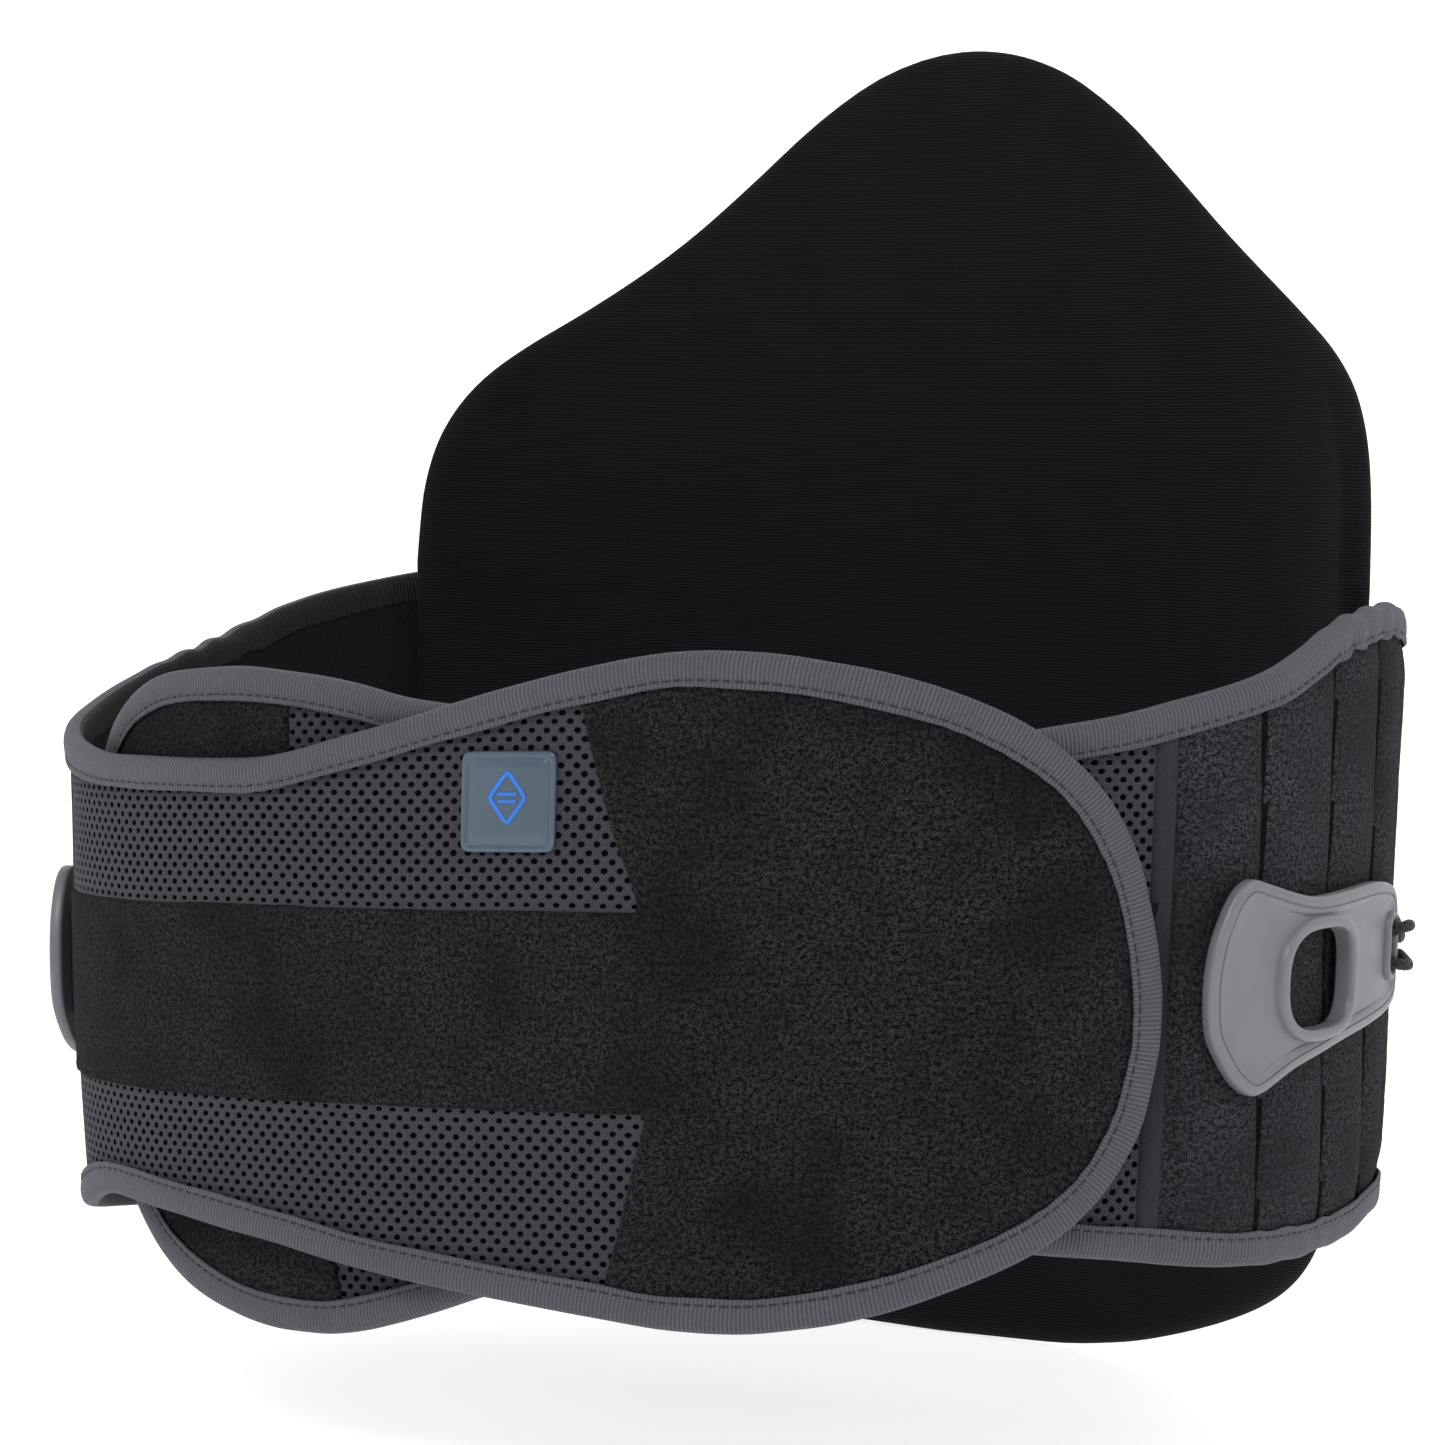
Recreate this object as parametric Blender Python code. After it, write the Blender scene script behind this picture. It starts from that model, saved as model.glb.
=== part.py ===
"""Lumbar support belt: two lapping front wings, a laced rear closure with two pull tabs, and a
tall posterior panel held inside the back.  Metres, +Z up, origin under the middle at floor height."""
import math

import bmesh
import bpy
import numpy as np
from mathutils import Vector

for old in list(bpy.data.objects):
    bpy.data.objects.remove(old, do_unlink=True)

MM = 0.001
# ring the belt is closed to (plan view of its outer face)
RING_A = 0.1796
RING_B = 0.1366
FRONT_POWER = 2.55
BACK_POWER = 2.28
SLOPE = 0.05           # the closed belt hangs a little lower on the left
LIFT = 0.0046          # posterior panel foot to belt datum
TAPER_Z = 170.0         # the closed belt is narrower at its foot than at this height
TAPER_EVEN = 2.0e-4
TAPER_ODD = -0.95e-4
SHIFT_X = -0.0008
SHIFT_Y = -0.0021
# zones along the belt, measured from the front centre
TIP = 179.0            # wing tip past the centre
MESH_END = 182.0
SIDE_START = 186.0
HINGE = 301.0
HINGE_N = 0.8
REAR_END = 478.0
STEP = 11.0
# layers, from the base line of each wing
CORE = (-2.2, -0.6)
FACE = (-0.3, 0.3)
SKIN = (0.6, 1.2)
LIP = 0.5
BIND = 7.2
BASE = -1.5
OUTER_BASE = -1.0
INNER_BASE = -8.8
# rear closure
PULLEY_U = 462.0
PULLEY_R = 7.2
GROOVE_R = 4.3
CORD_R = 1.4
WRAP_R = 6.0
CORD_N = 4.8
# outline of each wing: distance toward its own tip, height above the belt datum
TOP = ((-478, 229), (-400, 228), (-354, 224), (-312, 216.5), (-284, 208), (-244, 199), (-203, 187.5),
       (-146, 177.6), (-124, 175.6), (-68, 174.8), (-31, 181.2), (-3, 188), (33, 196.1), (61, 199.9),
       (80, 198.9), (99, 195.9), (121, 190.3), (137, 183.8), (149, 176.5), (160.4, 166.3),
       (170.7, 149.9), (176.8, 130.2), (179, 117))
BOT = ((-478, 50), (-290, 51.5), (-268, 49), (-240, 48), (-206, 50), (-162, 55), (-124, 62.5),
       (-96, 60.5), (-56, 55.6), (-26, 50.4), (10, 45.8), (40, 42.4), (60, 40), (78, 39.6), (95, 41.2),
       (114, 45), (131, 50.4), (148.5, 57.7), (162.2, 67.3), (174.7, 85.9), (179, 104))
INNER_TOP = ((-478, 203), (-400, 203), (-340, 203.5), (-312, 205), (-284, 207.5), (-255, 205), (-207, 190),
             (-176, 183), (-146, 179), (-124, 175.6), (-68, 174.8), (-31, 180.5), (-3, 186), (21, 189.5),
             (35.4, 192.9), (56, 196.2), (79.4, 197.9), (92.4, 197.7), (107, 196.7), (124.5, 192.1),
             (136, 186.2), (142.7, 181.4), (152, 173.5), (162, 163), (170.7, 149.9), (176.8, 130.2),
             (179, 118))
INNER_BOT = ((-478, 50), (-290, 51.5), (-268, 49), (-240, 48), (-206, 49.5), (-169, 54), (-124, 59),
             (-96, 59.5), (-56, 55), (-26, 49.6), (-5, 44.4), (8, 40.2), (22, 36.3), (35, 33.3),
             (46, 32.1), (58, 32.3), (69, 33.4), (81, 35.9), (95, 40.2), (108.5, 46.5), (119.3, 53.9),
             (128, 61), (146, 73), (160, 83), (171, 93), (176.5, 102), (179, 110))
# posterior panel: distance along the ring from its middle, height of its top and bottom edges
PANEL_MID = -8.0
PANEL_HALF = 178.0
PANEL_TOP = ((0, 373.6), (10, 372.6), (27, 367.5), (47, 355.2), (71, 334.5), (88, 320), (103, 309),
             (125, 295), (142, 285), (157, 274), (169, 259), (175.5, 241), (178, 220))
PANEL_BOT = ((0, -4.6), (40, -3.4), (66, 0), (88, 5.5), (120, 16.4), (140, 25.8), (154, 36), (166, 52),
             (173, 80), (177, 130), (178, 175))
# left edge of the end patches: height, distance toward the tip
PATCH = ((40, 42), (56, 45.3), (77, 49.7), (92, 53.2), (118, 52.9), (140, 49.3), (161, 41.4), (185, 34),
         (200, 29))
INNER_PATCH = ((34, 37), (50, 41), (120, 52), (177, 58.6), (200, 59))
# pull tab: distance forward from its rear end, height from its middle
TAB = ((-1.6, -8), (-2, 0), (-1.5, 8), (0, 14.5), (3, 18.5), (8, 20.5), (20, 21.6), (39, 20.8), (55, 20.4),
       (66, 22), (77, 24.8), (84, 26.2), (89.5, 22.5), (94, 14), (96, 6), (96.4, -2), (95.2, -11),
       (91, -18), (86.5, -23), (81, -26), (76, -25.6), (64, -21.2), (50, -18.4), (38, -16.4), (20, -14.2),
       (5, -11.8))
TAB_REAR = 286.5
TAB_Z = 117.0
TAB_LIFT = 4.0          # the left tab's wide end stands away from its wing
SLOT_Z = 4.5
HOLE_A = 54.6

COLOURS = {
    "knit": (0.012, 0.009, 0.014, 1.0, 0.85),
    "foam": (0.03, 0.03, 0.035, 1.0, 0.9),
    "shell": (0.05, 0.05, 0.055, 1.0, 0.45),
    "mesh": (0.09, 0.085, 0.105, 1.0, 0.8),
    "loop": (0.025, 0.022, 0.028, 1.0, 0.95),
    "side": (0.09, 0.08, 0.10, 1.0, 0.95),
    "tape": (0.16, 0.155, 0.19, 1.0, 0.7),
    "lining": (0.02, 0.018, 0.022, 1.0, 0.9),
    "plastic": (0.33, 0.30, 0.35, 1.0, 0.4),
    "cord": (0.03, 0.03, 0.035, 1.0, 0.8),
    "hook": (0.02, 0.02, 0.02, 1.0, 0.8),
    "steel": (0.6, 0.6, 0.6, 1.0, 0.3),
    "label": (0.08, 0.14, 0.2, 1.0, 0.35),
}


def material(key):
    name = "belt_" + key
    if name in bpy.data.materials:
        return bpy.data.materials[name]
    mat = bpy.data.materials.new(name)
    mat.use_nodes = True
    shader = mat.node_tree.nodes["Principled BSDF"]
    r, g, b, a, rough = COLOURS[key]
    shader.inputs["Base Color"].default_value = (r, g, b, a)
    shader.inputs["Roughness"].default_value = rough
    shader.inputs["Metallic"].default_value = 1.0 if key == "steel" else 0.0
    mat.diffuse_color = (r, g, b, a)
    return mat


def ring_table(count=2880):
    turn = np.linspace(-math.pi / 2, 1.5 * math.pi, count + 1)
    c = np.cos(turn)
    s = np.sin(turn)
    power = np.where(s > 0, BACK_POWER, FRONT_POWER)
    x = RING_A * np.sign(c) * np.abs(c) ** (2 / power)
    y = RING_B * np.sign(s) * np.abs(s) ** (2 / power)
    run = np.concatenate([[0.0], np.cumsum(np.hypot(np.diff(x), np.diff(y)))])
    return run, x, y


RUN, RING_X, RING_Y = ring_table()
GIRTH = float(RUN[-1])
HALF = GIRTH / 2 / MM


def frame_at(u):
    """Point and outward normal of the ring at u millimetres from the front centre."""
    def at(v):
        v = v % GIRTH
        return Vector((float(np.interp(v, RUN, RING_X)), float(np.interp(v, RUN, RING_Y)), 0.0))
    m = u * MM
    here = at(m)
    along = (at(m + 0.003) - at(m - 0.003)).normalized()
    return here, Vector((along.y, -along.x, 0.0)), along


def swell(u, middle, width):
    t = max(0.0, 1.0 - abs((u - middle) / width))
    return t * t * (3 - 2 * t)


def sink(u, z):
    """How far the left side draws in at the foot and at the top of its bend."""
    low = float(np.interp(z, (30.0, 70.0, 90.0, 112.0), (12.0, 3.8, 1.1, 0.0)))
    high = float(np.interp(z, (185.0, 205.0), (0.0, 5.0)))
    return low * swell(u, -212.0, 78.0) + high * swell(u, -244.0, 50.0)


def place(u, z, n, tilt=1.0):
    here, out, _ = frame_at(u)
    p = here + out * ((n - sink(u, z)) * MM)
    p.x += (TAPER_EVEN * p.x + TAPER_ODD * p.x * p.x / RING_A) * (z - TAPER_Z)
    p.z = z * MM + LIFT + tilt * SLOPE * here.x
    p.x += SHIFT_X
    p.y += SHIFT_Y
    return p


def curve_at(knots, s):
    """Smooth curve through the knots."""
    ks = [k[0] for k in knots]
    kz = [k[1] for k in knots]
    if s <= ks[0]:
        return kz[0]
    if s >= ks[-1]:
        return kz[-1]
    i = max(j for j in range(len(ks) - 1) if ks[j] <= s)

    def slope(j):
        if j == 0 or j == len(ks) - 1:
            k = 0 if j == 0 else j - 1
            return (kz[k + 1] - kz[k]) / (ks[k + 1] - ks[k])
        d0 = (kz[j] - kz[j - 1]) / (ks[j] - ks[j - 1])
        d1 = (kz[j + 1] - kz[j]) / (ks[j + 1] - ks[j])
        if d0 * d1 <= 0:
            return 0.0
        return 2 * d0 * d1 / (d0 + d1)
    h = ks[i + 1] - ks[i]
    t = (s - ks[i]) / h
    m0 = slope(i) * h
    m1 = slope(i + 1) * h
    return ((2 * t ** 3 - 3 * t ** 2 + 1) * kz[i] + (t ** 3 - 2 * t ** 2 + t) * m0
            + (-2 * t ** 3 + 3 * t ** 2) * kz[i + 1] + (t ** 3 - t ** 2) * m1)


def base_at(side, s):
    """Base line of a wing: +1 is the right wing, which passes inside the left one."""
    far = INNER_BASE if side > 0 else OUTER_BASE
    t = min(1.0, max(0.0, (s + 218.0) / 38.0))
    t = t * t * (3 - 2 * t)
    return BASE + (far - BASE) * t


def wing_u(side, s):
    return -side * s


def top_at(side, s):
    return curve_at(INNER_TOP if side > 0 else TOP, s)


def bottom_at(side, s):
    return curve_at(INNER_BOT if side > 0 else BOT, s)


def finish(name, verts, faces, key, smooth=False):
    mesh = bpy.data.meshes.new(name)
    mesh.from_pydata([tuple(v) for v in verts], [], faces)
    bm = bmesh.new()
    bm.from_mesh(mesh)
    bmesh.ops.recalc_face_normals(bm, faces=bm.faces)
    bm.to_mesh(mesh)
    bm.free()
    obj = bpy.data.objects.new(name, mesh)
    bpy.context.scene.collection.objects.link(obj)
    mesh.materials.append(material(key))
    return obj


def slab(name, key, point, cols, rows):
    """Closed slab: point(i, j, k) with i along, j up, k = 0 inner or 1 outer."""
    verts = []
    index = {}
    for i in range(cols + 1):
        for j in range(rows + 1):
            for k in (0, 1):
                index[i, j, k] = len(verts)
                verts.append(point(i, j, k))
    faces = []
    for i in range(cols):
        for j in range(rows):
            for k in (0, 1):
                faces.append((index[i, j, k], index[i + 1, j, k], index[i + 1, j + 1, k], index[i, j + 1, k]))
    for i in range(cols):
        for j in (0, rows):
            faces.append((index[i, j, 0], index[i + 1, j, 0], index[i + 1, j, 1], index[i, j, 1]))
    for j in range(rows):
        for i in (0, cols):
            faces.append((index[i, j, 0], index[i, j + 1, 0], index[i, j + 1, 1], index[i, j, 1]))
    return finish(name, verts, faces, key)


def stations(low, high):
    """Shared stations along the belt, so that stacked layers bend at the same places."""
    marks = [k * STEP for k in range(-50, 17)]
    marks += [149, 159, 166, 171, 174.5, 177]
    marks = sorted(set(m for m in marks if low + 1.2 < m < high - 1.2))
    return [low] + marks + [high]


LEVELS = (70.0, 90.0, 112.0, 185.0)


def level_at(j, levels, bottom, top):
    """Height of row j of a slab whose inner rows keep to shared heights."""
    last = len(levels) + 1
    if j == 0:
        return bottom
    if j == last:
        return top
    part = 0.03 * (top - bottom)
    return min(max(levels[j - 1], bottom + j * part), top - (last - j) * part)


def wing_slab(name, key, side, low, high, layer, inset=0.5, zlow=None, zhigh=None):
    marks = stations(low, high)
    levels = [v for v in LEVELS if (zlow is None or v > zlow + 3) and (zhigh is None or v < zhigh - 3)]

    def point(i, j, k):
        s = marks[i]
        bottom = bottom_at(side, s) + inset if zlow is None else zlow
        top = top_at(side, s) - inset if zhigh is None else zhigh
        return place(wing_u(side, s), level_at(j, levels, bottom, top), base_at(side, s) + layer[k])
    return slab(name, key, point, len(marks) - 1, len(levels) + 1)


def sweep(name, key, path, profile, closed=False):
    """Closed profile (in-plane offset, layer height) carried along a pattern path of (s, z)."""
    count = len(path)
    verts = []
    for i, (s, z, side) in enumerate(path):
        if closed:
            before = path[i - 1]
            after = path[(i + 1) % count]
        else:
            before = path[max(0, i - 1)]
            after = path[min(count - 1, i + 1)]
        ds = after[0] - before[0]
        dz = after[1] - before[1]
        length = math.hypot(ds, dz)
        out_s = -dz / length
        out_z = ds / length
        for a, n in profile:
            s2 = s + out_s * a
            z2 = z + out_z * a
            verts.append(place(wing_u(side, s2), z2, base_at(side, s2) + n))
    m = len(profile)
    faces = []
    for i in range(count if closed else count - 1):
        i2 = (i + 1) % count
        for j in range(m):
            j2 = (j + 1) % m
            faces.append((i * m + j, i * m + j2, i2 * m + j2, i2 * m + j))
    if not closed:
        faces.append(tuple(range(m)))
        faces.append(tuple((count - 1) * m + j for j in range(m)))
    return finish(name, verts, faces, key)


def fold_profile(high):
    """Tape folded round an edge, open toward the panel; high is the top of the stack it holds."""
    low = CORE[0] - 0.35
    top = high + 0.35
    return ((-BIND, top), (-BIND, top + LIP), (0.4, top + LIP), (0.7, top), (0.7, low), (0.4, low - LIP),
            (-BIND, low - LIP), (-BIND, low), (0.25, low), (0.25, top))


def wing_path(side, low):
    marks = stations(low, TIP)
    path = [(s, top_at(side, s), side) for s in marks]
    path += [(TIP + 0.3, 111.0, side)]
    path += [(s, bottom_at(side, s), side) for s in reversed(marks)]
    return path


def rear_path(side):
    marks = stations(-REAR_END, -HINGE - 0.6)
    path = [(s, bottom_at(side, s), side) for s in reversed(marks)]
    path += [(s, top_at(side, s), side) for s in marks]
    return path


def tube(name, key, points, radius, resolution=2):
    curve = bpy.data.curves.new(name, "CURVE")
    curve.dimensions = "3D"
    curve.bevel_depth = radius * MM
    curve.bevel_resolution = resolution
    curve.use_fill_caps = True
    line = curve.splines.new("POLY")
    line.points.add(len(points) - 1)
    for i, p in enumerate(points):
        line.points[i].co = (p.x, p.y, p.z, 1.0)
    obj = bpy.data.objects.new(name, curve)
    bpy.context.scene.collection.objects.link(obj)
    curve.materials.append(material(key))
    return obj


def lathe(name, key, origin, axis, profile, sides=14):
    """Closed ring or solid turned about an axis: profile of (radius, height) in millimetres."""
    up = Vector((0.0, 0.0, 1.0))
    across = axis.cross(up).normalized()
    verts = []
    for i in range(sides):
        t = 2 * math.pi * (i + 0.5) / sides
        d = across * math.cos(t) + up * math.sin(t)
        for r, h in profile:
            verts.append(origin + d * (r * MM) + axis * (h * MM))
    m = len(profile)
    faces = []
    for i in range(sides):
        i2 = (i + 1) % sides
        for j in range(m):
            j2 = (j + 1) % m
            faces.append((i * m + j, i * m + j2, i2 * m + j2, i2 * m + j))
    return finish(name, verts, faces, key)


def turned(name, key, origin, axis, profile, sides=14):
    """Solid turned about an axis, closed at both ends."""
    up = Vector((0.0, 0.0, 1.0))
    across = axis.cross(up).normalized()
    verts = []
    for r, h in profile:
        for i in range(sides):
            t = 2 * math.pi * (i + 0.5) / sides
            d = across * math.cos(t) + up * math.sin(t)
            verts.append(origin + d * (r * MM) + axis * (h * MM))
    faces = [tuple(range(sides)), tuple((len(profile) - 1) * sides + i for i in range(sides))]
    for j in range(len(profile) - 1):
        for i in range(sides):
            i2 = (i + 1) % sides
            faces.append((j * sides + i, j * sides + i2, (j + 1) * sides + i2, (j + 1) * sides + i))
    return finish(name, verts, faces, key)


def cut(target, cutter):
    mod = target.modifiers.new("cut_" + cutter.name, "BOOLEAN")
    mod.operation = "DIFFERENCE"
    mod.solver = "EXACT"
    mod.object = cutter
    cutter.hide_render = True
    cutter.display_type = "WIRE"


# ---------------------------------------------------------------- wings
for side, word in ((-1, "left"), (1, "right")):
    wing_slab(word + "_wing_lining", "lining", side, -HINGE + 0.6, TIP - 0.2, CORE, inset=0.0)
    wing_slab(word + "_wing_mesh", "mesh", side, -MESH_END, TIP - 0.5, FACE)
    wing_slab(word + "_centre_band", "loop", side, -MESH_END, 45.0, SKIN, zlow=90.5, zhigh=139.0)
    wing_slab(word + "_side_panel", "side", side, -HINGE + 0.6, -SIDE_START, FACE)
    cols = [m for m in stations(54.0, TIP - 0.5)]

    def patch_point(i, j, k, side=side, cols=cols):
        f = (cols[i] - cols[0]) / (cols[-1] - cols[0])
        left = curve_at(INNER_PATCH if side > 0 else PATCH, (42.0, 70.0, 90.0, 112.0, 185.0, 196.0)[j])
        s = left + (cols[-1] - left) * f
        z = level_at(j, LEVELS, bottom_at(side, s) + 0.5, top_at(side, s) - 0.5)
        return place(wing_u(side, s), z, base_at(side, s) + SKIN[k])
    slab(word + "_end_patch", "loop", patch_point, len(cols) - 1, len(LEVELS) + 1)
    sweep(word + "_wing_binding", "tape", wing_path(side, -HINGE + 0.6), fold_profile(SKIN[1]))

# hook pad inside the outer wing's tip, and the label on the outer wing
wing_slab("closure_hook_pad", "hook", -1, 98.0, 156.0, (-3.4, -2.5), zlow=84.0, zhigh=148.0)
wing_slab("label_patch", "label", -1, 1.0, 27.5, (0.6, 1.5), zlow=153.0, zhigh=177.5)

# ---------------------------------------------------------------- rear halves
for side, word in ((-1, "left"), (1, "right")):
    wing_slab(word + "_rear_lining", "lining", side, -REAR_END + 0.3, -HINGE - 0.6, CORE, inset=0.0)
    wing_slab(word + "_rear_panel", "side", side, -REAR_END + 0.5, -HINGE - 0.6, FACE)
    sweep(word + "_rear_binding", "tape", rear_path(side), fold_profile(FACE[1]))
    plate = wing_slab(word + "_pulley_plate", "shell", side, -PULLEY_U - 7.5, -PULLEY_U + 31.5,
                      (0.7, 1.9), zlow=60.0, zhigh=176.0)
    heights = (77.0, 101.0, 147.0) if side > 0 else (89.0, 135.0, 159.0)
    here, out, along = frame_at(side * PULLEY_U)
    for i, z in enumerate(heights):
        centre = place(side * PULLEY_U, z, 0.0)
        tag = "_%d" % (i + 1)
        lathe(word + "_pulley" + tag, "plastic", centre, out,
              ((2.05, CORD_N - 2.8), (PULLEY_R, CORD_N - 2.8), (PULLEY_R, CORD_N - 2.3),
               (GROOVE_R, CORD_N - 1.6), (GROOVE_R, CORD_N + 1.6),
               (PULLEY_R, CORD_N + 2.3), (PULLEY_R, CORD_N + 2.8), (2.05, CORD_N + 2.8)))
        turned(word + "_axle" + tag, "steel", centre, out,
               ((2.0, -0.4), (2.0, CORD_N + 3.0), (3.6, CORD_N + 3.0), (3.6, CORD_N + 3.9)))
        hole = turned("cut_" + word + tag, "steel", centre, out, ((2.05, -3.0), (2.05, 4.0)))
        cut(plate, hole)

# ---------------------------------------------------------------- lacing
def lift_points(side_u, z, turn_from, turn_to, steps=7):
    """Half turn of cord round a pulley, in the plane of its groove."""
    here, out, along = frame_at(side_u)
    centre = place(side_u, z, CORD_N)
    up = Vector((0.0, 0.0, 1.0))
    pts = []
    for i in range(steps + 1):
        t = turn_from + (turn_to - turn_from) * i / steps
        pts.append(centre + along * (WRAP_R * MM * math.cos(t)) + up * (WRAP_R * MM * math.sin(t)))
    return pts


def bridge(p, q, count=5):
    return [p.lerp(q, i / count) for i in range(1, count)]


def lacing(name, near, first, downward):
    """One cord: from its run, across the gap and back twice, to its knot on the near plate."""
    sign = -1.0 if downward else 1.0
    far = -near
    z1 = first
    z2 = first + sign * 12.0
    z3 = first + sign * 24.0
    knot_z = first + sign * 30.0
    # turns start on the entry strand and end on the exit strand, round the side away from the gap
    half = math.pi / 2

    def turn(side, z):
        # along points toward +u; the outside of the far pulley lies away from the back centre
        start = half if downward else -half
        end = -start
        if side > 0:
            return lift_points(side * PULLEY_U, z, start, start + (2 * half if downward else -2 * half))
        return lift_points(side * PULLEY_U, z, start, end)
    entry = place(near * PULLEY_U, z1 - sign * 6.0, CORD_N)
    pts = [entry]
    for side, z in ((far, z1), (near, z2), (far, z3)):
        loop = turn(side, z)
        pts += bridge(pts[-1], loop[0])
        pts += loop
    knot = place(near * (PULLEY_U - 3.0), knot_z, CORD_N + 0.4)
    pts += bridge(pts[-1], knot)
    pts.append(knot)
    return tube(name, "cord", pts, CORD_R), entry, knot


upper, upper_entry, upper_knot = lacing("upper_lacing", 1, 159.0, True)
lower, lower_entry, lower_knot = lacing("lower_lacing", -1, 77.0, False)

# ---------------------------------------------------------------- side runs, cord loops and tabs
for side, word in ((-1, "left"), (1, "right")):
    z_plate = 165.0 if side > 0 else 71.0
    # plain run over the rear half, from the hinge line to the entry pulley
    pts = []
    steps = 18
    for i in range(steps + 1):
        f = i / steps
        u = HINGE + 1.2 + (PULLEY_U - 2.2 - HINGE - 1.2) * f
        g = f * f * (3 - 2 * f)
        pts.append(place(side * u, TAB_Z + SLOT_Z + (z_plate - TAB_Z - SLOT_Z) * g, 3.0 + (CORD_N - 3.0) * f))
    tube(word + "_cord_run", "cord", pts, CORD_R)
    # spliced eye through the tab's slot
    pts = []
    for u, z, n in ((300.2, 0.0, 3.0), (296, 1.6, 3.2), (293, 3.2, 4.0), (289.6, 4.4, 6.2), (286.2, 5.0, 7.6),
                    (283, 5.0, 8.0), (280.4, 4.6, 6.6), (279.6, 3.2, 4.0), (279.5, 1.2, 2.6),
                    (279.5, -1.2, 2.6), (279.6, -3.2, 4.0), (280.4, -4.6, 6.6), (283, -5.0, 8.0),
                    (286.2, -5.0, 7.6), (289.6, -4.4, 6.2), (293, -3.5, 4.4), (295.6, -3.2, 3.4)):
        pts.append(place(side * u, TAB_Z + SLOT_Z + z, n))
    tube(word + "_cord_loop", "cord", pts, CORD_R)


def smooth_loop(knots, count):
    """Closed smooth outline through the knots, evenly spaced."""
    m = len(knots)
    dense = []
    for i in range(m):
        p0 = Vector(knots[i - 1])
        p1 = Vector(knots[i])
        p2 = Vector(knots[(i + 1) % m])
        p3 = Vector(knots[(i + 2) % m])
        for k in range(12):
            t = k / 12
            dense.append(0.5 * ((2 * p1) + (p2 - p0) * t + (2 * p0 - 5 * p1 + 4 * p2 - p3) * t * t
                                + (3 * p1 - p0 - 3 * p2 + p3) * t ** 3))
    run = [0.0]
    for i in range(len(dense)):
        run.append(run[-1] + (dense[(i + 1) % len(dense)] - dense[i]).length)
    xs = [p.x for p in dense] + [dense[0].x]
    ys = [p.y for p in dense] + [dense[0].y]
    marks = np.linspace(0, run[-1], count + 1)[:-1]
    return [(float(np.interp(d, run, xs)), float(np.interp(d, run, ys))) for d in marks]


def shrink(loop, amount):
    """Outline drawn in by an amount along its own normals."""
    out = []
    m = len(loop)
    area = sum(loop[i][0] * loop[(i + 1) % m][1] - loop[(i + 1) % m][0] * loop[i][1] for i in range(m))
    turn = 1.0 if area > 0 else -1.0
    for i in range(m):
        a = loop[i - 1]
        b = loop[(i + 1) % m]
        dx = b[0] - a[0]
        dy = b[1] - a[1]
        length = math.hypot(dx, dy)
        out.append((loop[i][0] - turn * dy / length * amount, loop[i][1] + turn * dx / length * amount))
    return out


def finger_hole(count, grow=0.0):
    """Rounded D: a straight rear side and a full front."""
    pts = []
    for i in range(count):
        t = 2 * math.pi * i / count
        c = math.cos(t)
        s = math.sin(t)
        w = 15.4 if c > 0 else 15.8
        p = 2.3 if c > 0 else 3.2
        r = (abs(c / w) ** p + abs(s / 12.3) ** p) ** (-1 / p)
        pts.append((HOLE_A + (r + grow) * c, 0.3 + (r + grow) * s))
    return pts


for side, word in ((-1, "left"), (1, "right")):
    count = 40
    outline = smooth_loop(TAB, count)
    hole = finger_hole(count)
    # rotate the outline so that it starts level with the hole, going the same way round
    area = sum(outline[i][0] * outline[(i + 1) % count][1] - outline[(i + 1) % count][0] * outline[i][1]
               for i in range(count))
    if area < 0:
        outline = outline[::-1]
    start = min(range(count), key=lambda i: math.hypot(outline[i][0] - 96.4, outline[i][1] - 0.3))
    outline = outline[start:] + outline[:start]
    lift = TAB_LIFT if side < 0 else 0.0
    rings = [(outline, 0.9), (outline, 3.6), (shrink(outline, 0.8), 4.4), (shrink(outline, 3.4), 4.4),
             (shrink(outline, 4.4), 3.6), (finger_hole(count, 3.2), 3.6), (finger_hole(count, 2.4), 5.4),
             (finger_hole(count, 0.8), 5.4), (hole, 4.8), (hole, 0.9)]
    verts = []
    for loop, n in rings:
        for a, h in loop:
            verts.append(place(side * (TAB_REAR - a), TAB_Z + h, n + lift * max(0.0, a) / 96.0))
    faces = []
    m = len(rings)
    for j in range(m):
        j2 = (j + 1) % m
        for i in range(count):
            i2 = (i + 1) % count
            faces.append((j * count + i, j * count + i2, j2 * count + i2, j2 * count + i))
    tab = finish(word + "_pull_tab", verts, faces, "plastic")
    here, out, along = frame_at(side * (TAB_REAR - 6.6))
    slot_verts = []
    slot = []
    for i in range(20):
        t = 2 * math.pi * i / 20
        c = math.cos(t)
        s = math.sin(t)
        slot.append((2.4 * c, 2.4 * s + (4.4 if s > 0 else -4.4)))
    centre = place(side * (TAB_REAR - 6.6), TAB_Z + SLOT_Z, 0.0)
    for n in (-2.0, 12.0):
        for a, h in slot:
            slot_verts.append(centre + along * (a * MM) + out * (n * MM) + Vector((0, 0, h * MM)))
    slot_faces = [tuple(range(20)), tuple(range(20, 40))]
    slot_faces += [(i, (i + 1) % 20, 20 + (i + 1) % 20, 20 + i) for i in range(20)]
    cutter = finish("cut_slot_" + word, slot_verts, slot_faces, "plastic")
    cut(tab, cutter)
    # hook pad under the wide end

    def pad_point(i, j, k, side=side, lift=lift):
        a = 74.0 + 14.0 * i / 3
        n = (-0.8, -0.1)[k] + lift * a / 96.0
        return place(side * (TAB_REAR - a), TAB_Z - 14.0 + 28.0 * j / 2, n)
    slab(word + "_tab_hook_pad", "hook", pad_point, 3, 2)

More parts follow.
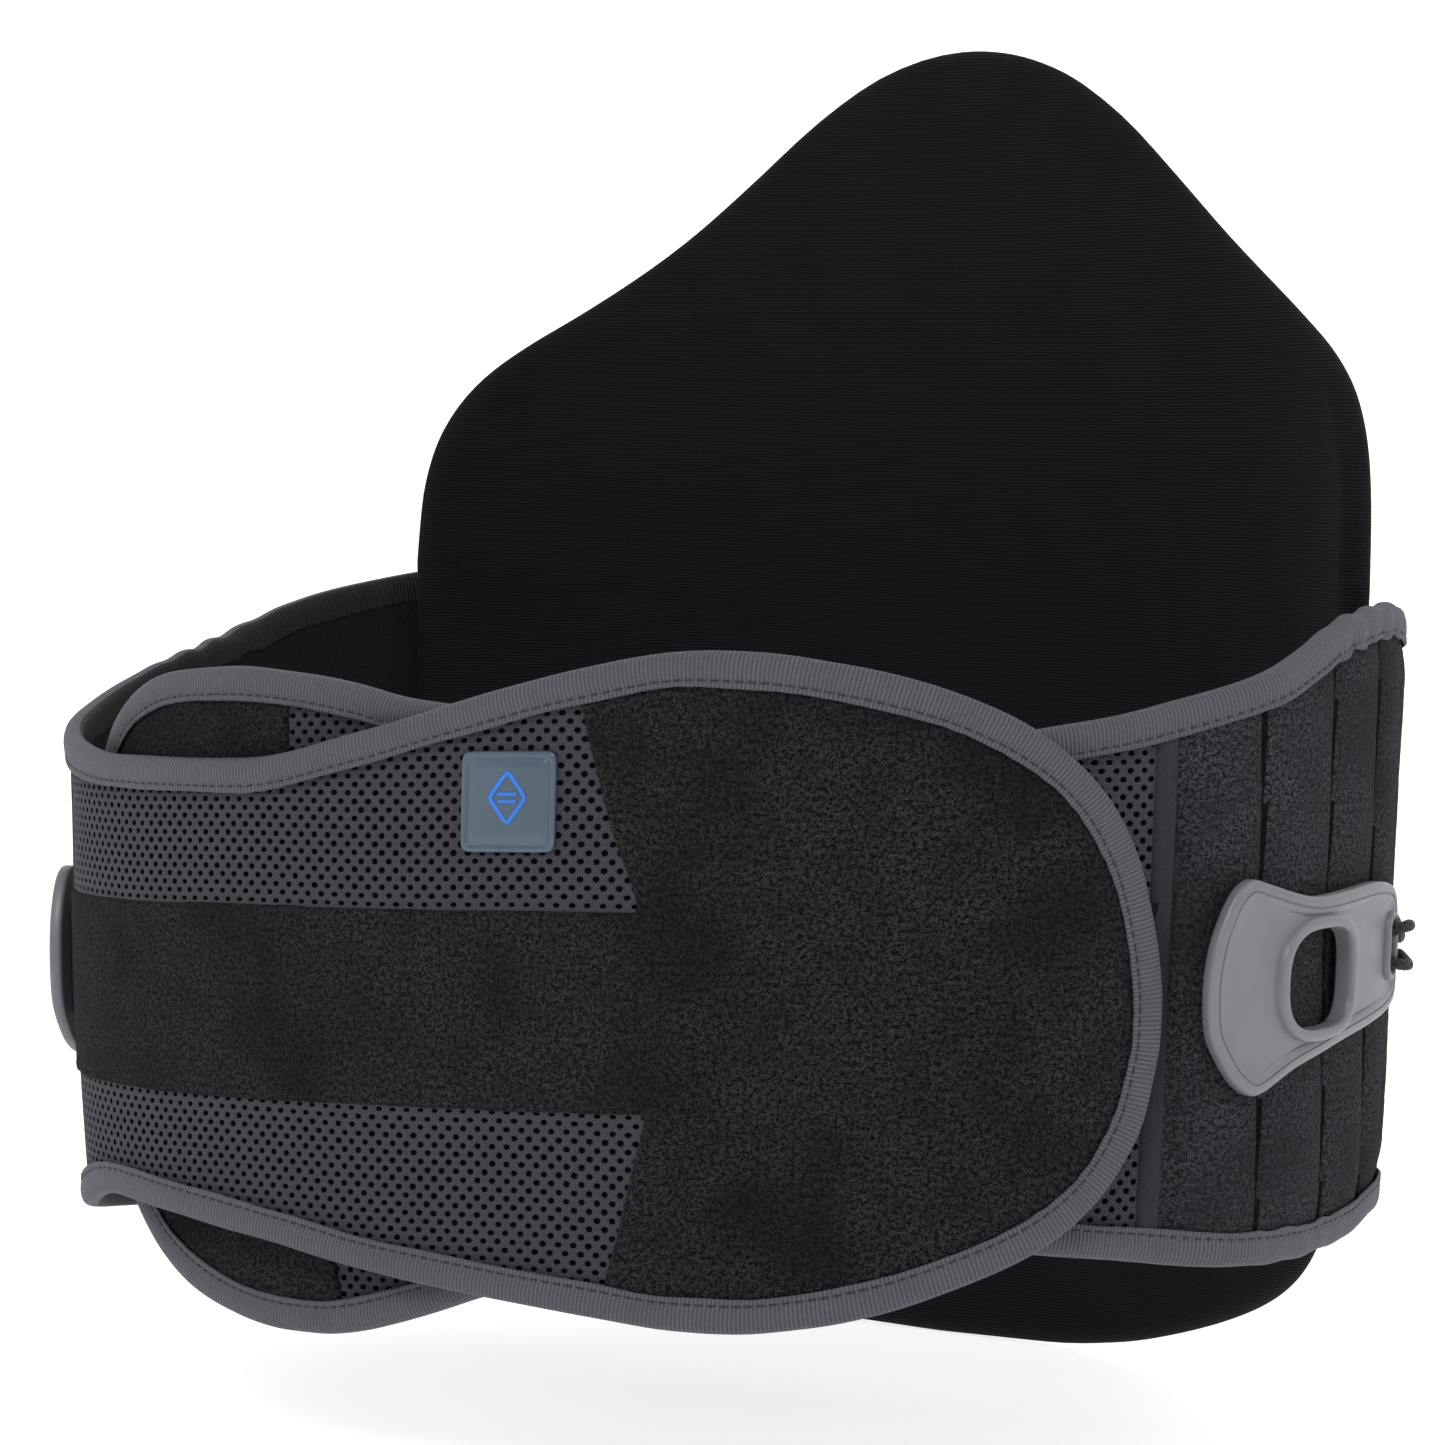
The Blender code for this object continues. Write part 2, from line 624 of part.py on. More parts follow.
# ---------------------------------------------------------------- posterior panel
def panel_slab(name, key, low, high, inset):
    marks = [k * 13.0 for k in range(13)] + [165.0, 171.0, 174.5]
    marks = [-m for m in reversed(marks[1:])] + marks
    marks = [inset - PANEL_HALF] + marks + [PANEL_HALF - inset]

    def point(i, j, k):
        w = abs(marks[i])
        bottom = curve_at(PANEL_BOT, w) + inset
        top = curve_at(PANEL_TOP, w) - inset
        return place(HALF + PANEL_MID + marks[i], bottom + (top - bottom) * j, (low, high)[k], tilt=0.0)
    return slab(name, key, point, len(marks) - 1, 1)


panel_slab("posterior_cover_front", "knit", -15.4, -13.8, 0.0)
panel_slab("posterior_foam", "foam", -13.5, -10.0, 2.0)
panel_slab("posterior_shell", "shell", -9.7, -8.0, 2.0)
panel_slab("posterior_cover_back", "knit", -7.7, -6.1, 0.0)

# vertical keepers on the posterior panel, which the rear halves slide through
for side, word in ((-1, "left"), (1, "right")):
    inner = ((38.0, -5.7), (38.0, 1.0), (239.5, 1.0), (239.5, -5.7), (238.4, -5.7), (238.4, 0.1),
             (39.1, 0.1), (39.1, -5.7))
    verts = []
    for u in (388.0, 396.0, 404.0):
        for z, n in inner:
            verts.append(place(side * u, z, n))
    m = len(inner)
    faces = []
    for i in range(2):
        for j in range(m):
            j2 = (j + 1) % m
            faces.append((i * m + j, i * m + j2, (i + 1) * m + j2, (i + 1) * m + j))
    faces.append(tuple(range(m)))
    faces.append(tuple(2 * m + j for j in range(m)))
    finish(word + "_keeper", verts, faces, "side")
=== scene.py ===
"""Looks of a lumbar support belt: spacer-mesh and loop-fabric wings with taped edges, a padded posterior
panel, moulded pull tabs and a laced rear closure.  Metres, +Z up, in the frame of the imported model."""
import math

import bmesh
import bpy
import numpy as np
from mathutils import Matrix, Vector


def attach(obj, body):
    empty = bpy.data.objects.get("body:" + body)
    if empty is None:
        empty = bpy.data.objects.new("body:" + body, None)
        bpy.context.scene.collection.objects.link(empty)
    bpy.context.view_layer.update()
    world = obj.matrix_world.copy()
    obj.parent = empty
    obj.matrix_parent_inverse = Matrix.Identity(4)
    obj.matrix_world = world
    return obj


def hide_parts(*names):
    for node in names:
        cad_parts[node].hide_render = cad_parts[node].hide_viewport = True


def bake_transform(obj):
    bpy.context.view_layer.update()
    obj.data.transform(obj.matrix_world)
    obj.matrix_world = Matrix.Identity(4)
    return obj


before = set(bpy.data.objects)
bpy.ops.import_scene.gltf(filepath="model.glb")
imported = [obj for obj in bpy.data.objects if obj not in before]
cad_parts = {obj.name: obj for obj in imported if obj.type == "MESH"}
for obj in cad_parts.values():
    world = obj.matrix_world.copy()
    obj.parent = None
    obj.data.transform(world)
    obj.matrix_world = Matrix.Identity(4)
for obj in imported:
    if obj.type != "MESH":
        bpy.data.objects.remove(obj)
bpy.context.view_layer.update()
bpy.context.scene.view_settings.view_transform = "Standard"

# the closed ring in metres, and how it leans and widens
MM = 0.001
RING_A = 0.1796
RING_B = 0.1366
FRONT_POWER = 2.55
BACK_POWER = 2.28
SLOPE = 0.05
LIFT = 0.0046
TAPER_Z = 170.0
TAPER_EVEN = 2.0e-4
TAPER_ODD = -0.95e-4
SHIFT_X = -0.0008
SHIFT_Y = -0.0021
# places along the belt, heights and stand-offs, in millimetres from here on
TIP = 179.0
MESH_END = 182.0
SIDE_START = 186.0
HINGE = 301.0
HINGE_N = 0.8
REAR_END = 478.0
BASE = -1.5
OUTER_BASE = -1.0
INNER_BASE = -8.8
PULLEY_U = 462.0
CORD_R = 1.4
WRAP_R = 6.0
CORD_N = 4.8
TAB_REAR = 286.5
TAB_Z = 117.0
TAB_LIFT = 4.0
SLOT_Z = 4.5
HOLE_A = 54.6
PANEL_MID = -8.0
PANEL_HALF = 178.0
PANEL_N = -10.75
PANEL_THICK = 4.65
BAND_Z = 114.75
BAND_HALF = 24.25
EDGE_STEP = 1.3
STITCH_PITCH = 3.2
# upper and lower edge of the left half: distance toward its tip, height
TOP = ((-478, 229), (-400, 228), (-354, 224), (-312, 216.5), (-284, 208), (-244, 199), (-203, 187.5),
       (-146, 177.6), (-124, 175.6), (-68, 174.8), (-31, 181.2), (-3, 188), (33, 196.1), (61, 199.9),
       (80, 198.9), (99, 195.9), (121, 190.3), (137, 183.8), (149, 176.5), (160.4, 166.3),
       (170.7, 149.9), (176.8, 130.2), (179, 117))
BOT = ((-478, 50), (-290, 51.5), (-268, 49), (-240, 48), (-206, 50), (-162, 55), (-124, 62.5),
       (-96, 60.5), (-56, 55.6), (-26, 50.4), (10, 45.8), (40, 42.4), (60, 40), (78, 39.6), (95, 41.2),
       (114, 45), (131, 50.4), (148.5, 57.7), (162.2, 67.3), (174.7, 85.9), (179, 104))
# the same of the right half, which lies underneath
INNER_TOP = ((-478, 203), (-400, 203), (-340, 203.5), (-312, 205), (-284, 207.5), (-255, 205), (-207, 190),
             (-176, 183), (-146, 179), (-124, 175.6), (-68, 174.8), (-31, 180.5), (-3, 186), (21, 189.5),
             (35.4, 192.9), (56, 196.2), (79.4, 197.9), (92.4, 197.7), (107, 196.7), (124.5, 192.1),
             (136, 186.2), (142.7, 181.4), (152, 173.5), (162, 163), (170.7, 149.9), (176.8, 130.2),
             (179, 118))
INNER_BOT = ((-478, 50), (-290, 51.5), (-268, 49), (-240, 48), (-206, 49.5), (-169, 54), (-124, 59),
             (-96, 59.5), (-56, 55), (-26, 49.6), (-5, 44.4), (8, 40.2), (22, 36.3), (35, 33.3),
             (46, 32.1), (58, 32.3), (69, 33.4), (81, 35.9), (95, 40.2), (108.5, 46.5), (119.3, 53.9),
             (128, 61), (146, 73), (160, 83), (171, 93), (176.5, 102), (179, 110))
# posterior panel: distance along the ring from its middle, height
PANEL_TOP = ((0, 373.6), (10, 372.6), (27, 367.5), (47, 355.2), (71, 334.5), (88, 320), (103, 309),
             (125, 295), (142, 285), (157, 274), (169, 259), (175.5, 241), (178, 220))
PANEL_BOT = ((0, -4.6), (40, -3.4), (66, 0), (88, 5.5), (120, 16.4), (140, 25.8), (154, 36), (166, 52),
             (173, 80), (177, 130), (178, 175))
# left edge of the end patches: height, distance toward the tip
PATCH = ((40, 42), (56, 45.3), (77, 49.7), (92, 53.2), (118, 52.9), (140, 49.3), (161, 41.4), (185, 34),
         (200, 29))
INNER_PATCH = ((34, 37), (50, 41), (120, 52), (177, 58.6), (200, 59))
# pull tab: distance forward from its rear end, height from its middle
TAB = ((-1.6, -8), (-2, 0), (-1.5, 8), (0, 14.5), (3, 18.5), (8, 20.5), (20, 21.6), (39, 20.8), (55, 20.4),
       (66, 22), (77, 24.8), (84, 26.2), (89.5, 22.5), (94, 14), (96, 6), (96.4, -2), (95.2, -11),
       (91, -18), (86.5, -23), (81, -26), (76, -25.6), (64, -21.2), (50, -18.4), (38, -16.4), (20, -14.2),
       (5, -11.8))
SIDES = ((-1, "left"), (1, "right"))


# ------------------------------------------------------------------ shape helpers
def ring_table(count=5760):
    turn = np.linspace(-math.pi / 2, 1.5 * math.pi, count + 1)
    c = np.cos(turn)
    s = np.sin(turn)
    power = np.where(s > 0, BACK_POWER, FRONT_POWER)
    x = RING_A * np.sign(c) * np.abs(c) ** (2 / power)
    y = RING_B * np.sign(s) * np.abs(s) ** (2 / power)
    run = np.concatenate([[0.0], np.cumsum(np.hypot(np.diff(x), np.diff(y)))])
    return run, x, y


RUN, RING_X, RING_Y = ring_table()
GIRTH = float(RUN[-1])
HALF = GIRTH / 2 / MM


def ring(u):
    m = np.asarray(u, float) * MM

    def at(v):
        v = np.mod(v, GIRTH)
        return np.interp(v, RUN, RING_X), np.interp(v, RUN, RING_Y)
    x, y = at(m)
    xa, ya = at(m + 0.003)
    xb, yb = at(m - 0.003)
    length = np.hypot(xa - xb, ya - yb)
    return x, y, (ya - yb) / length, -(xa - xb) / length


def swell(u, middle, width):
    v = np.asarray(u, float)
    t = np.clip(1.0 - np.abs((v - middle) / width), 0.0, 1.0)
    return t * t * (3 - 2 * t)


def sink(u, z):
    """How far the left side draws in at the foot and at the top of its bend."""
    low = 8.0 * np.clip((112.0 - z) / 60.0, 0.0, 1.25) ** 2
    high = 5.0 * np.clip((z - 185.0) / 20.0, 0.0, 1.0)
    return low * swell(u, -212.0, 78.0) + high * swell(u, -244.0, 50.0)


def place(u, z, n, tilt=1.0):
    """Pattern coordinates in millimetres to a point: along the belt, up, and out from its face."""
    u, z, n = np.broadcast_arrays(np.asarray(u, float), np.asarray(z, float), np.asarray(n, float))
    x, y, nx, ny = ring(u)
    n = n - sink(u, z)
    px = x + nx * n * MM
    px = px + (TAPER_EVEN * px + TAPER_ODD * px * px / RING_A) * (z - TAPER_Z)
    return np.stack([px + SHIFT_X, y + ny * n * MM + SHIFT_Y, z * MM + LIFT + tilt * SLOPE * x], -1)


def axes_at(u):
    x, y, nx, ny = ring(u)
    return Vector((float(nx), float(ny), 0.0)), Vector((-float(ny), float(nx), 0.0))


def curve_at(knots, s):
    k = np.array(knots, float)
    x, y = k[:, 0], k[:, 1]
    h = np.diff(x)
    d = np.diff(y) / h
    m = np.zeros(len(x))
    m[0], m[-1] = d[0], d[-1]
    both = d[:-1] * d[1:]
    m[1:-1] = np.where(both > 0, 2 * both / np.where(both > 0, d[:-1] + d[1:], 1.0), 0.0)
    s = np.clip(np.asarray(s, float), x[0], x[-1])
    i = np.clip(np.searchsorted(x, s, side="right") - 1, 0, len(h) - 1)
    t = (s - x[i]) / h[i]
    return ((2 * t ** 3 - 3 * t ** 2 + 1) * y[i] + (t ** 3 - 2 * t ** 2 + t) * m[i] * h[i]
            + (-2 * t ** 3 + 3 * t ** 2) * y[i + 1] + (t ** 3 - t ** 2) * m[i + 1] * h[i])


def ease(t):
    t = np.clip(t, 0.0, 1.0)
    return t * t * (3 - 2 * t)


def lumps(seed, u, z, size, span=(-500.0, 500.0, -20.0, 400.0)):
    """Smooth repeatable unevenness: value noise on a lattice of the given size in millimetres."""
    rng = np.random.default_rng(seed)
    nu = int((span[1] - span[0]) / size) + 4
    nz = int((span[3] - span[2]) / size) + 4
    table = rng.uniform(-1.0, 1.0, (nu, nz))
    a = np.clip((np.asarray(u, float) - span[0]) / size + 1, 0, nu - 2.001)
    b = np.clip((np.asarray(z, float) - span[2]) / size + 1, 0, nz - 2.001)
    i = a.astype(int)
    j = b.astype(int)
    fa = ease(a - i)
    fb = ease(b - j)
    return ((table[i, j] * (1 - fa) + table[i + 1, j] * fa) * (1 - fb)
            + (table[i, j + 1] * (1 - fa) + table[i + 1, j + 1] * fa) * fb)


def base_at(side, s, z=120.0):
    """Base line of a wing, with the soft dents that the lying fabric takes."""
    far = INNER_BASE if side > 0 else OUTER_BASE
    line = BASE + (far - BASE) * ease((np.asarray(s, float) + 218.0) / 38.0)
    if side < 0:
        s = np.asarray(s, float)
        z = np.asarray(z, float)
        line = line - 1.2 * np.exp(-((s - 80) / 17) ** 2 - ((z - 86) / 30) ** 2)
        line = line + 0.8 * np.exp(-((s - 58) / 10) ** 2 - ((z - 104) / 40) ** 2)
        line = line + 0.6 * np.exp(-((s - 122) / 20) ** 2 - ((z - 126) / 34) ** 2)
        line = line - 0.7 * np.exp(-((s - 66) / 9) ** 2 - ((z - 150) / 20) ** 2)
        line = line - 0.5 * np.exp(-((s - 104) / 8) ** 2 - ((z - 108) / 26) ** 2)
        line = line + 0.35 * lumps(301, s, z, 24.0) * ease((s + 10.0) / 60.0) * ease((172.0 - s) / 24.0)
    return line


def top_at(side, s):
    return curve_at(INNER_TOP if side > 0 else TOP, s)


def bottom_at(side, s):
    return curve_at(INNER_BOT if side > 0 else BOT, s)


def wing(side, s, z, n):
    return place(-side * np.asarray(s, float), z, base_at(side, s, z) + n)


def make(name, verts, faces, mats, uv=None, index=None, smooth=True):
    mesh = bpy.data.meshes.new(name)
    verts = np.asarray(verts, float).reshape(-1, 3)
    mesh.from_pydata(verts.tolist(), [], [tuple(int(v) for v in f) for f in faces])
    for m in mats:
        mesh.materials.append(m)
    if uv is not None:
        layer = mesh.uv_layers.new(name="UVMap")
        loops = np.zeros(len(mesh.loops), np.int32)
        mesh.loops.foreach_get("vertex_index", loops)
        layer.data.foreach_set("uv", np.asarray(uv, float).reshape(-1, 2)[loops].ravel())
    if index is not None:
        mesh.polygons.foreach_set("material_index", np.asarray(index, np.int32))
    mesh.polygons.foreach_set("use_smooth", [smooth] * len(mesh.polygons))
    mesh.update()
    obj = bpy.data.objects.new(name, mesh)
    bpy.context.scene.collection.objects.link(obj)
    return obj


def face_out(obj):
    bm = bmesh.new()
    bm.from_mesh(obj.data)
    bmesh.ops.recalc_face_normals(bm, faces=bm.faces)
    bm.to_mesh(obj.data)
    bm.free()
    return obj


def grid_faces(m, n, offset=0, flip=False):
    i, j = np.meshgrid(np.arange(m - 1), np.arange(n - 1), indexing="ij")
    a = offset + i * n + j
    quads = np.stack([a, a + n, a + n + 1, a + 1], -1).reshape(-1, 4)
    return quads[:, ::-1] if flip else quads


def shell(name, outer, inner, uv, mats, flip=False):
    """Closed piece between two matching grids of points."""
    m, n = outer.shape[:2]
    count = m * n
    faces = [grid_faces(m, n, 0, flip), grid_faces(m, n, count, not flip)]
    rim = ([(i, 0) for i in range(m)] + [(m - 1, j) for j in range(1, n)]
           + [(i, n - 1) for i in range(m - 2, -1, -1)] + [(0, j) for j in range(n - 2, 0, -1)])
    ids = np.array([i * n + j for i, j in rim])
    nxt = np.roll(ids, -1)
    side = np.stack([ids, ids + count, nxt + count, nxt], -1)
    if flip:
        side = side[:, ::-1]
    faces = np.concatenate(faces + [side])
    obj = make(name, np.concatenate([outer.reshape(-1, 3), inner.reshape(-1, 3)]), faces, mats,
               uv=np.concatenate([uv.reshape(-1, 2)] * 2))
    return face_out(obj)


def sweep_closed(name, rings, uv, mats, closed=True):
    """Closed rings of points joined one to the next."""
    k, m = rings.shape[:2]
    i = np.arange(k if closed else k - 1)[:, None]
    j = np.arange(m)[None, :]
    i2 = (i + 1) % k
    j2 = (j + 1) % m
    faces = np.stack([i * m + j, i * m + j2, i2 * m + j2, i2 * m + j], -1).reshape(-1, 4).tolist()
    if not closed:
        faces.append(list(range(m)))
        faces.append([(k - 1) * m + q for q in range(m)])
    return face_out(make(name, rings, faces, mats, uv=uv))


def tube(name, pts, radius, mats, sides=20, braid=0.0, pitch=4.5, strands=4):
    """Round cord along points, with the crossing strands of a braid standing out a little."""
    pts = np.asarray(pts, float)
    step = np.linalg.norm(np.diff(pts, axis=0), axis=1)
    run = np.concatenate([[0.0], np.cumsum(step)])
    tangent = np.gradient(pts, axis=0)
    tangent /= np.linalg.norm(tangent, axis=1)[:, None]
    normal = np.zeros_like(pts)
    ref = np.array([0.0, 0.0, 1.0])
    if abs(tangent[0] @ ref) > 0.9:
        ref = np.array([1.0, 0.0, 0.0])
    v = np.cross(tangent[0], ref)
    for i in range(len(pts)):
        v = v - (v @ tangent[i]) * tangent[i]
        v /= np.linalg.norm(v)
        normal[i] = v
    other = np.cross(tangent, normal)
    turn = np.linspace(0, 2 * math.pi, sides, endpoint=False)
    ends = np.minimum(run, run[-1] - run) / (radius * MM)
    close = np.sqrt(np.clip(1 - (1 - np.clip(ends, 0, 1)) ** 2, 0.02, 1))
    a = turn[None, :] * strands + run[:, None] / MM * 2 * math.pi / pitch
    b = turn[None, :] * strands - run[:, None] / MM * 2 * math.pi / pitch
    strand = 1 + braid * (np.maximum(np.abs(np.cos(a)), np.abs(np.cos(b))) - 0.85)
    r = radius * MM * strand * close[:, None]
    rings = (pts[:, None, :] + normal[:, None, :] * (r * np.cos(turn))[..., None]
             + other[:, None, :] * (r * np.sin(turn))[..., None])
    uv = np.stack([np.broadcast_to(run[:, None], r.shape),
                   np.broadcast_to(turn[None, :] * radius * MM, r.shape)], -1)
    return sweep_closed(name, rings, uv, mats, closed=False)


def smooth_path(pts, spacing):
    """Even, rounded path through points."""
    pts = np.asarray(pts, float)
    p = np.vstack([2 * pts[0] - pts[1], pts, 2 * pts[-1] - pts[-2]])
    out = []
    for i in range(1, len(p) - 2):
        for t in np.linspace(0, 1, 16, endpoint=False):
            out.append(0.5 * ((2 * p[i]) + (p[i + 1] - p[i - 1]) * t
                              + (2 * p[i - 1] - 5 * p[i] + 4 * p[i + 1] - p[i + 2]) * t * t
                              + (3 * p[i] - p[i - 1] - 3 * p[i + 1] + p[i + 2]) * t ** 3))
    out.append(p[-2])
    out = np.array(out)
    run = np.concatenate([[0.0], np.cumsum(np.linalg.norm(np.diff(out, axis=0), axis=1))])
    marks = np.linspace(0, run[-1], max(3, int(run[-1] / spacing)))
    return np.stack([np.interp(marks, run, out[:, k]) for k in range(out.shape[1])], -1)


# ------------------------------------------------------------------ materials
class Tree:
    def __init__(self, name, color, rough, sheen=0.0, sheen_rough=0.5, spec=0.5, metallic=0.0, tint=None):
        self.mat = bpy.data.materials.new(name)
        self.mat.use_nodes = True
        self.t = self.mat.node_tree
        self.bsdf = self.t.nodes["Principled BSDF"]
        self.bsdf.inputs["Base Color"].default_value = (*color, 1)
        self.bsdf.inputs["Roughness"].default_value = rough
        self.bsdf.inputs["Metallic"].default_value = metallic
        self.bsdf.inputs["Specular IOR Level"].default_value = spec
        self.bsdf.inputs["Sheen Weight"].default_value = sheen
        self.bsdf.inputs["Sheen Roughness"].default_value = sheen_rough
        self.bsdf.inputs["Sheen Tint"].default_value = (*(tint or (1, 1, 1)), 1)
        self.uv = None

    def node(self, kind, **props):
        n = self.t.nodes.new(kind)
        for k, v in props.items():
            setattr(n, k, v)
        return n

    def link(self, a, b):
        self.t.links.new(a, b)

    def math(self, op, a, b=None, c=None):
        n = self.node("ShaderNodeMath", operation=op)
        for i, v in enumerate((a, b, c)):
            if v is None:
                continue
            if isinstance(v, (int, float)):
                n.inputs[i].default_value = v
            else:
                self.link(v, n.inputs[i])
        return n.outputs[0]

    def coords(self):
        if self.uv is None:
            self.uv = self.node("ShaderNodeTexCoord").outputs["UV"]
            sep = self.node("ShaderNodeSeparateXYZ")
            self.link(self.uv, sep.inputs[0])
            self.u, self.v = sep.outputs[0], sep.outputs[1]
        return self.uv

    def noise(self, scale, detail=3.0, rough=0.6, vector=None, stretch=None, kind="uv"):
        n = self.node("ShaderNodeTexNoise")
        n.inputs["Scale"].default_value = scale
        n.inputs["Detail"].default_value = detail
        n.inputs["Roughness"].default_value = rough
        src = vector
        if src is None:
            src = self.coords() if kind == "uv" else self.node("ShaderNodeTexCoord").outputs["Object"]
        if stretch:
            mp = self.node("ShaderNodeMapping")
            mp.inputs["Scale"].default_value = stretch
            self.link(src, mp.inputs["Vector"])
            src = mp.outputs[0]
        self.link(src, n.inputs["Vector"])
        return n.outputs[0]

    def ramp(self, value, low, high, a, b):
        m = self.node("ShaderNodeMapRange")
        m.interpolation_type = "SMOOTHSTEP"
        m.inputs[1].default_value = low
        m.inputs[2].default_value = high
        m.inputs[3].default_value = a
        m.inputs[4].default_value = b
        self.link(value, m.inputs[0])
        return m.outputs[0]

    def mix(self, factor, a, b, mode="MIX"):
        m = self.node("ShaderNodeMix", data_type="RGBA", blend_type=mode)
        for i, v in ((0, factor), (6, a), (7, b)):
            if isinstance(v, (int, float)):
                m.inputs[i].default_value = v
            elif isinstance(v, tuple):
                m.inputs[i].default_value = (*v, 1)
            else:
                self.link(v, m.inputs[i])
        return m.outputs[2]

    def color(self, socket):
        self.link(socket, self.bsdf.inputs["Base Color"])

    def rough(self, socket):
        self.link(socket, self.bsdf.inputs["Roughness"])

    def bump(self, height, distance, strength=1.0, under=None):
        b = self.node("ShaderNodeBump")
        b.inputs["Strength"].default_value = strength
        b.inputs["Distance"].default_value = distance
        self.link(height, b.inputs["Height"])
        if under is not None:
            self.link(under, b.inputs["Normal"])
        return b.outputs[0]

    def normal(self, socket):
        self.link(socket, self.bsdf.inputs["Normal"])


def spun(color, f=1.0):
    return tuple(min(1.0, c * f) for c in color)


def loop_fabric(name, color, light=3.0, sheen=0.02):
    """Brushed loop fabric: short dense fuzz, mottled at a millimetre, no weave showing."""
    t = Tree(name, color, 0.95, sheen=sheen, sheen_rough=0.6, spec=0.03, tint=(0.9, 0.88, 0.95))
    fine = t.noise(1750.0, 3.0, 0.75)
    mid = t.noise(800.0, 3.0, 0.7)
    wide = t.noise(90.0, 3.0, 0.5)
    speck = t.ramp(t.math("MULTIPLY_ADD", fine, 0.55, t.math("MULTIPLY", mid, 0.5)), 0.45, 0.62, 0.0, 1.0)
    c = t.mix(speck, spun(color, 0.22), spun(color, light))
    c = t.mix(t.ramp(wide, 0.35, 0.7, 0.0, 0.35), c, spun(color, 0.7))
    lie = t.noise(24.0, 2.0, 0.5)
    c = t.mix(t.ramp(lie, 0.45, 0.66, 0.0, 0.55), c, spun(color, 0.6))
    t.color(c)
    b1 = t.bump(mid, 0.0009, 1.0)
    t.normal(t.bump(fine, 0.0004, 1.0, b1))
    return t.mat


def knit_fabric(name, color, pitch=0.0009, depth=0.00012, light=1.7, sheen=0.03):
    """Smooth warp knit: fine level rows of stitches with a soft bloom."""
    t = Tree(name, color, 0.9, sheen=sheen, sheen_rough=0.4, spec=0.06, tint=(0.9, 0.88, 0.95))
    t.coords()
    wob = t.noise(240.0, 2.0, 0.5)
    row = t.math("SINE", t.math("MULTIPLY_ADD", t.v, 2 * math.pi / pitch, t.math("MULTIPLY", wob, 2.0)))
    col = t.math("SINE", t.math("MULTIPLY", t.u, 2 * math.pi / (pitch * 0.8)))
    stitch = t.math("MULTIPLY_ADD", col, 0.35, row)
    fuzz = t.noise(1800.0, 3.0, 0.7)
    wide = t.noise(45.0, 3.0, 0.55)
    height = t.math("MULTIPLY_ADD", fuzz, 1.2, stitch)
    c = t.mix(t.ramp(height, -0.6, 1.9, 0.0, 1.0), spun(color, 0.6), spun(color, light))
    c = t.mix(t.ramp(wide, 0.35, 0.7, 0.0, 0.3), c, spun(color, 0.75))
    t.color(c)
    t.normal(t.bump(height, depth, 0.8))
    return t.mat


def spacer_fabric(name, color):
    """Face of a spacer knit between its holes: rows of small stitches."""
    t = Tree(name, color, 0.75, sheen=0.04, sheen_rough=0.4, spec=0.2, tint=(0.9, 0.88, 0.95))
    t.coords()
    row = t.math("SINE", t.math("MULTIPLY", t.v, 2 * math.pi / 0.00105))
    col = t.math("SINE", t.math("MULTIPLY", t.u, 2 * math.pi / 0.0007))
    fuzz = t.noise(1500.0, 3.0, 0.65)
    height = t.math("MULTIPLY_ADD", fuzz, 1.5, t.math("MULTIPLY", row, col))
    c = t.mix(t.ramp(height, -0.4, 1.7, 0.0, 1.0), spun(color, 0.62), spun(color, 1.35))
    t.color(c)
    t.normal(t.bump(height, 0.00015, 0.9))
    return t.mat


def tape_fabric(name, color):
    """Folded binding tape: fine ribs across its length, u running along it."""
    t = Tree(name, color, 0.65, sheen=0.05, sheen_rough=0.35, spec=0.25, tint=(0.92, 0.9, 1.0))
    t.coords()
    rib = t.math("SINE", t.math("MULTIPLY", t.u, 2 * math.pi / 0.0011))
    yarn = t.math("SINE", t.math("MULTIPLY", t.v, 2 * math.pi / 0.0007))
    fuzz = t.noise(1300.0, 3.0, 0.6)
    wide = t.noise(130.0, 3.0, 0.5)
    height = t.math("MULTIPLY_ADD", yarn, 0.25, t.math("MULTIPLY_ADD", fuzz, 0.9, rib))
    c = t.mix(t.ramp(height, -0.8, 1.7, 0.0, 1.0), spun(color, 0.62), spun(color, 1.25))
    c = t.mix(t.ramp(wide, 0.35, 0.75, 0.0, 0.35), c, spun(color, 0.75))
    t.color(c)
    t.normal(t.bump(height, 0.00018, 0.9))
    return t.mat


def plain_fabric(name, color, pitch=0.0008):
    t = Tree(name, color, 0.85, sheen=0.02, spec=0.08)
    t.coords()
    a = t.math("SINE", t.math("MULTIPLY", t.u, 2 * math.pi / pitch))
    b = t.math("SINE", t.math("MULTIPLY", t.v, 2 * math.pi / pitch))
    fuzz = t.noise(1100.0, 3.0, 0.6)
    height = t.math("MULTIPLY_ADD", fuzz, 1.4, t.math("MULTIPLY", a, b))
    t.color(t.mix(t.ramp(height, -0.5, 1.8, 0.0, 1.0), spun(color, 0.6), spun(color, 1.5)))
    t.normal(t.bump(height, 0.00015, 0.8))
    return t.mat


def thread(name, color):
    t = Tree(name, color, 0.6, sheen=0.1, spec=0.3)
    f = t.noise(1500.0, 2.0, 0.6, kind="object")
    t.color(t.mix(t.ramp(f, 0.3, 0.7, 0, 1), spun(color, 0.7), spun(color, 1.4)))
    return t.mat


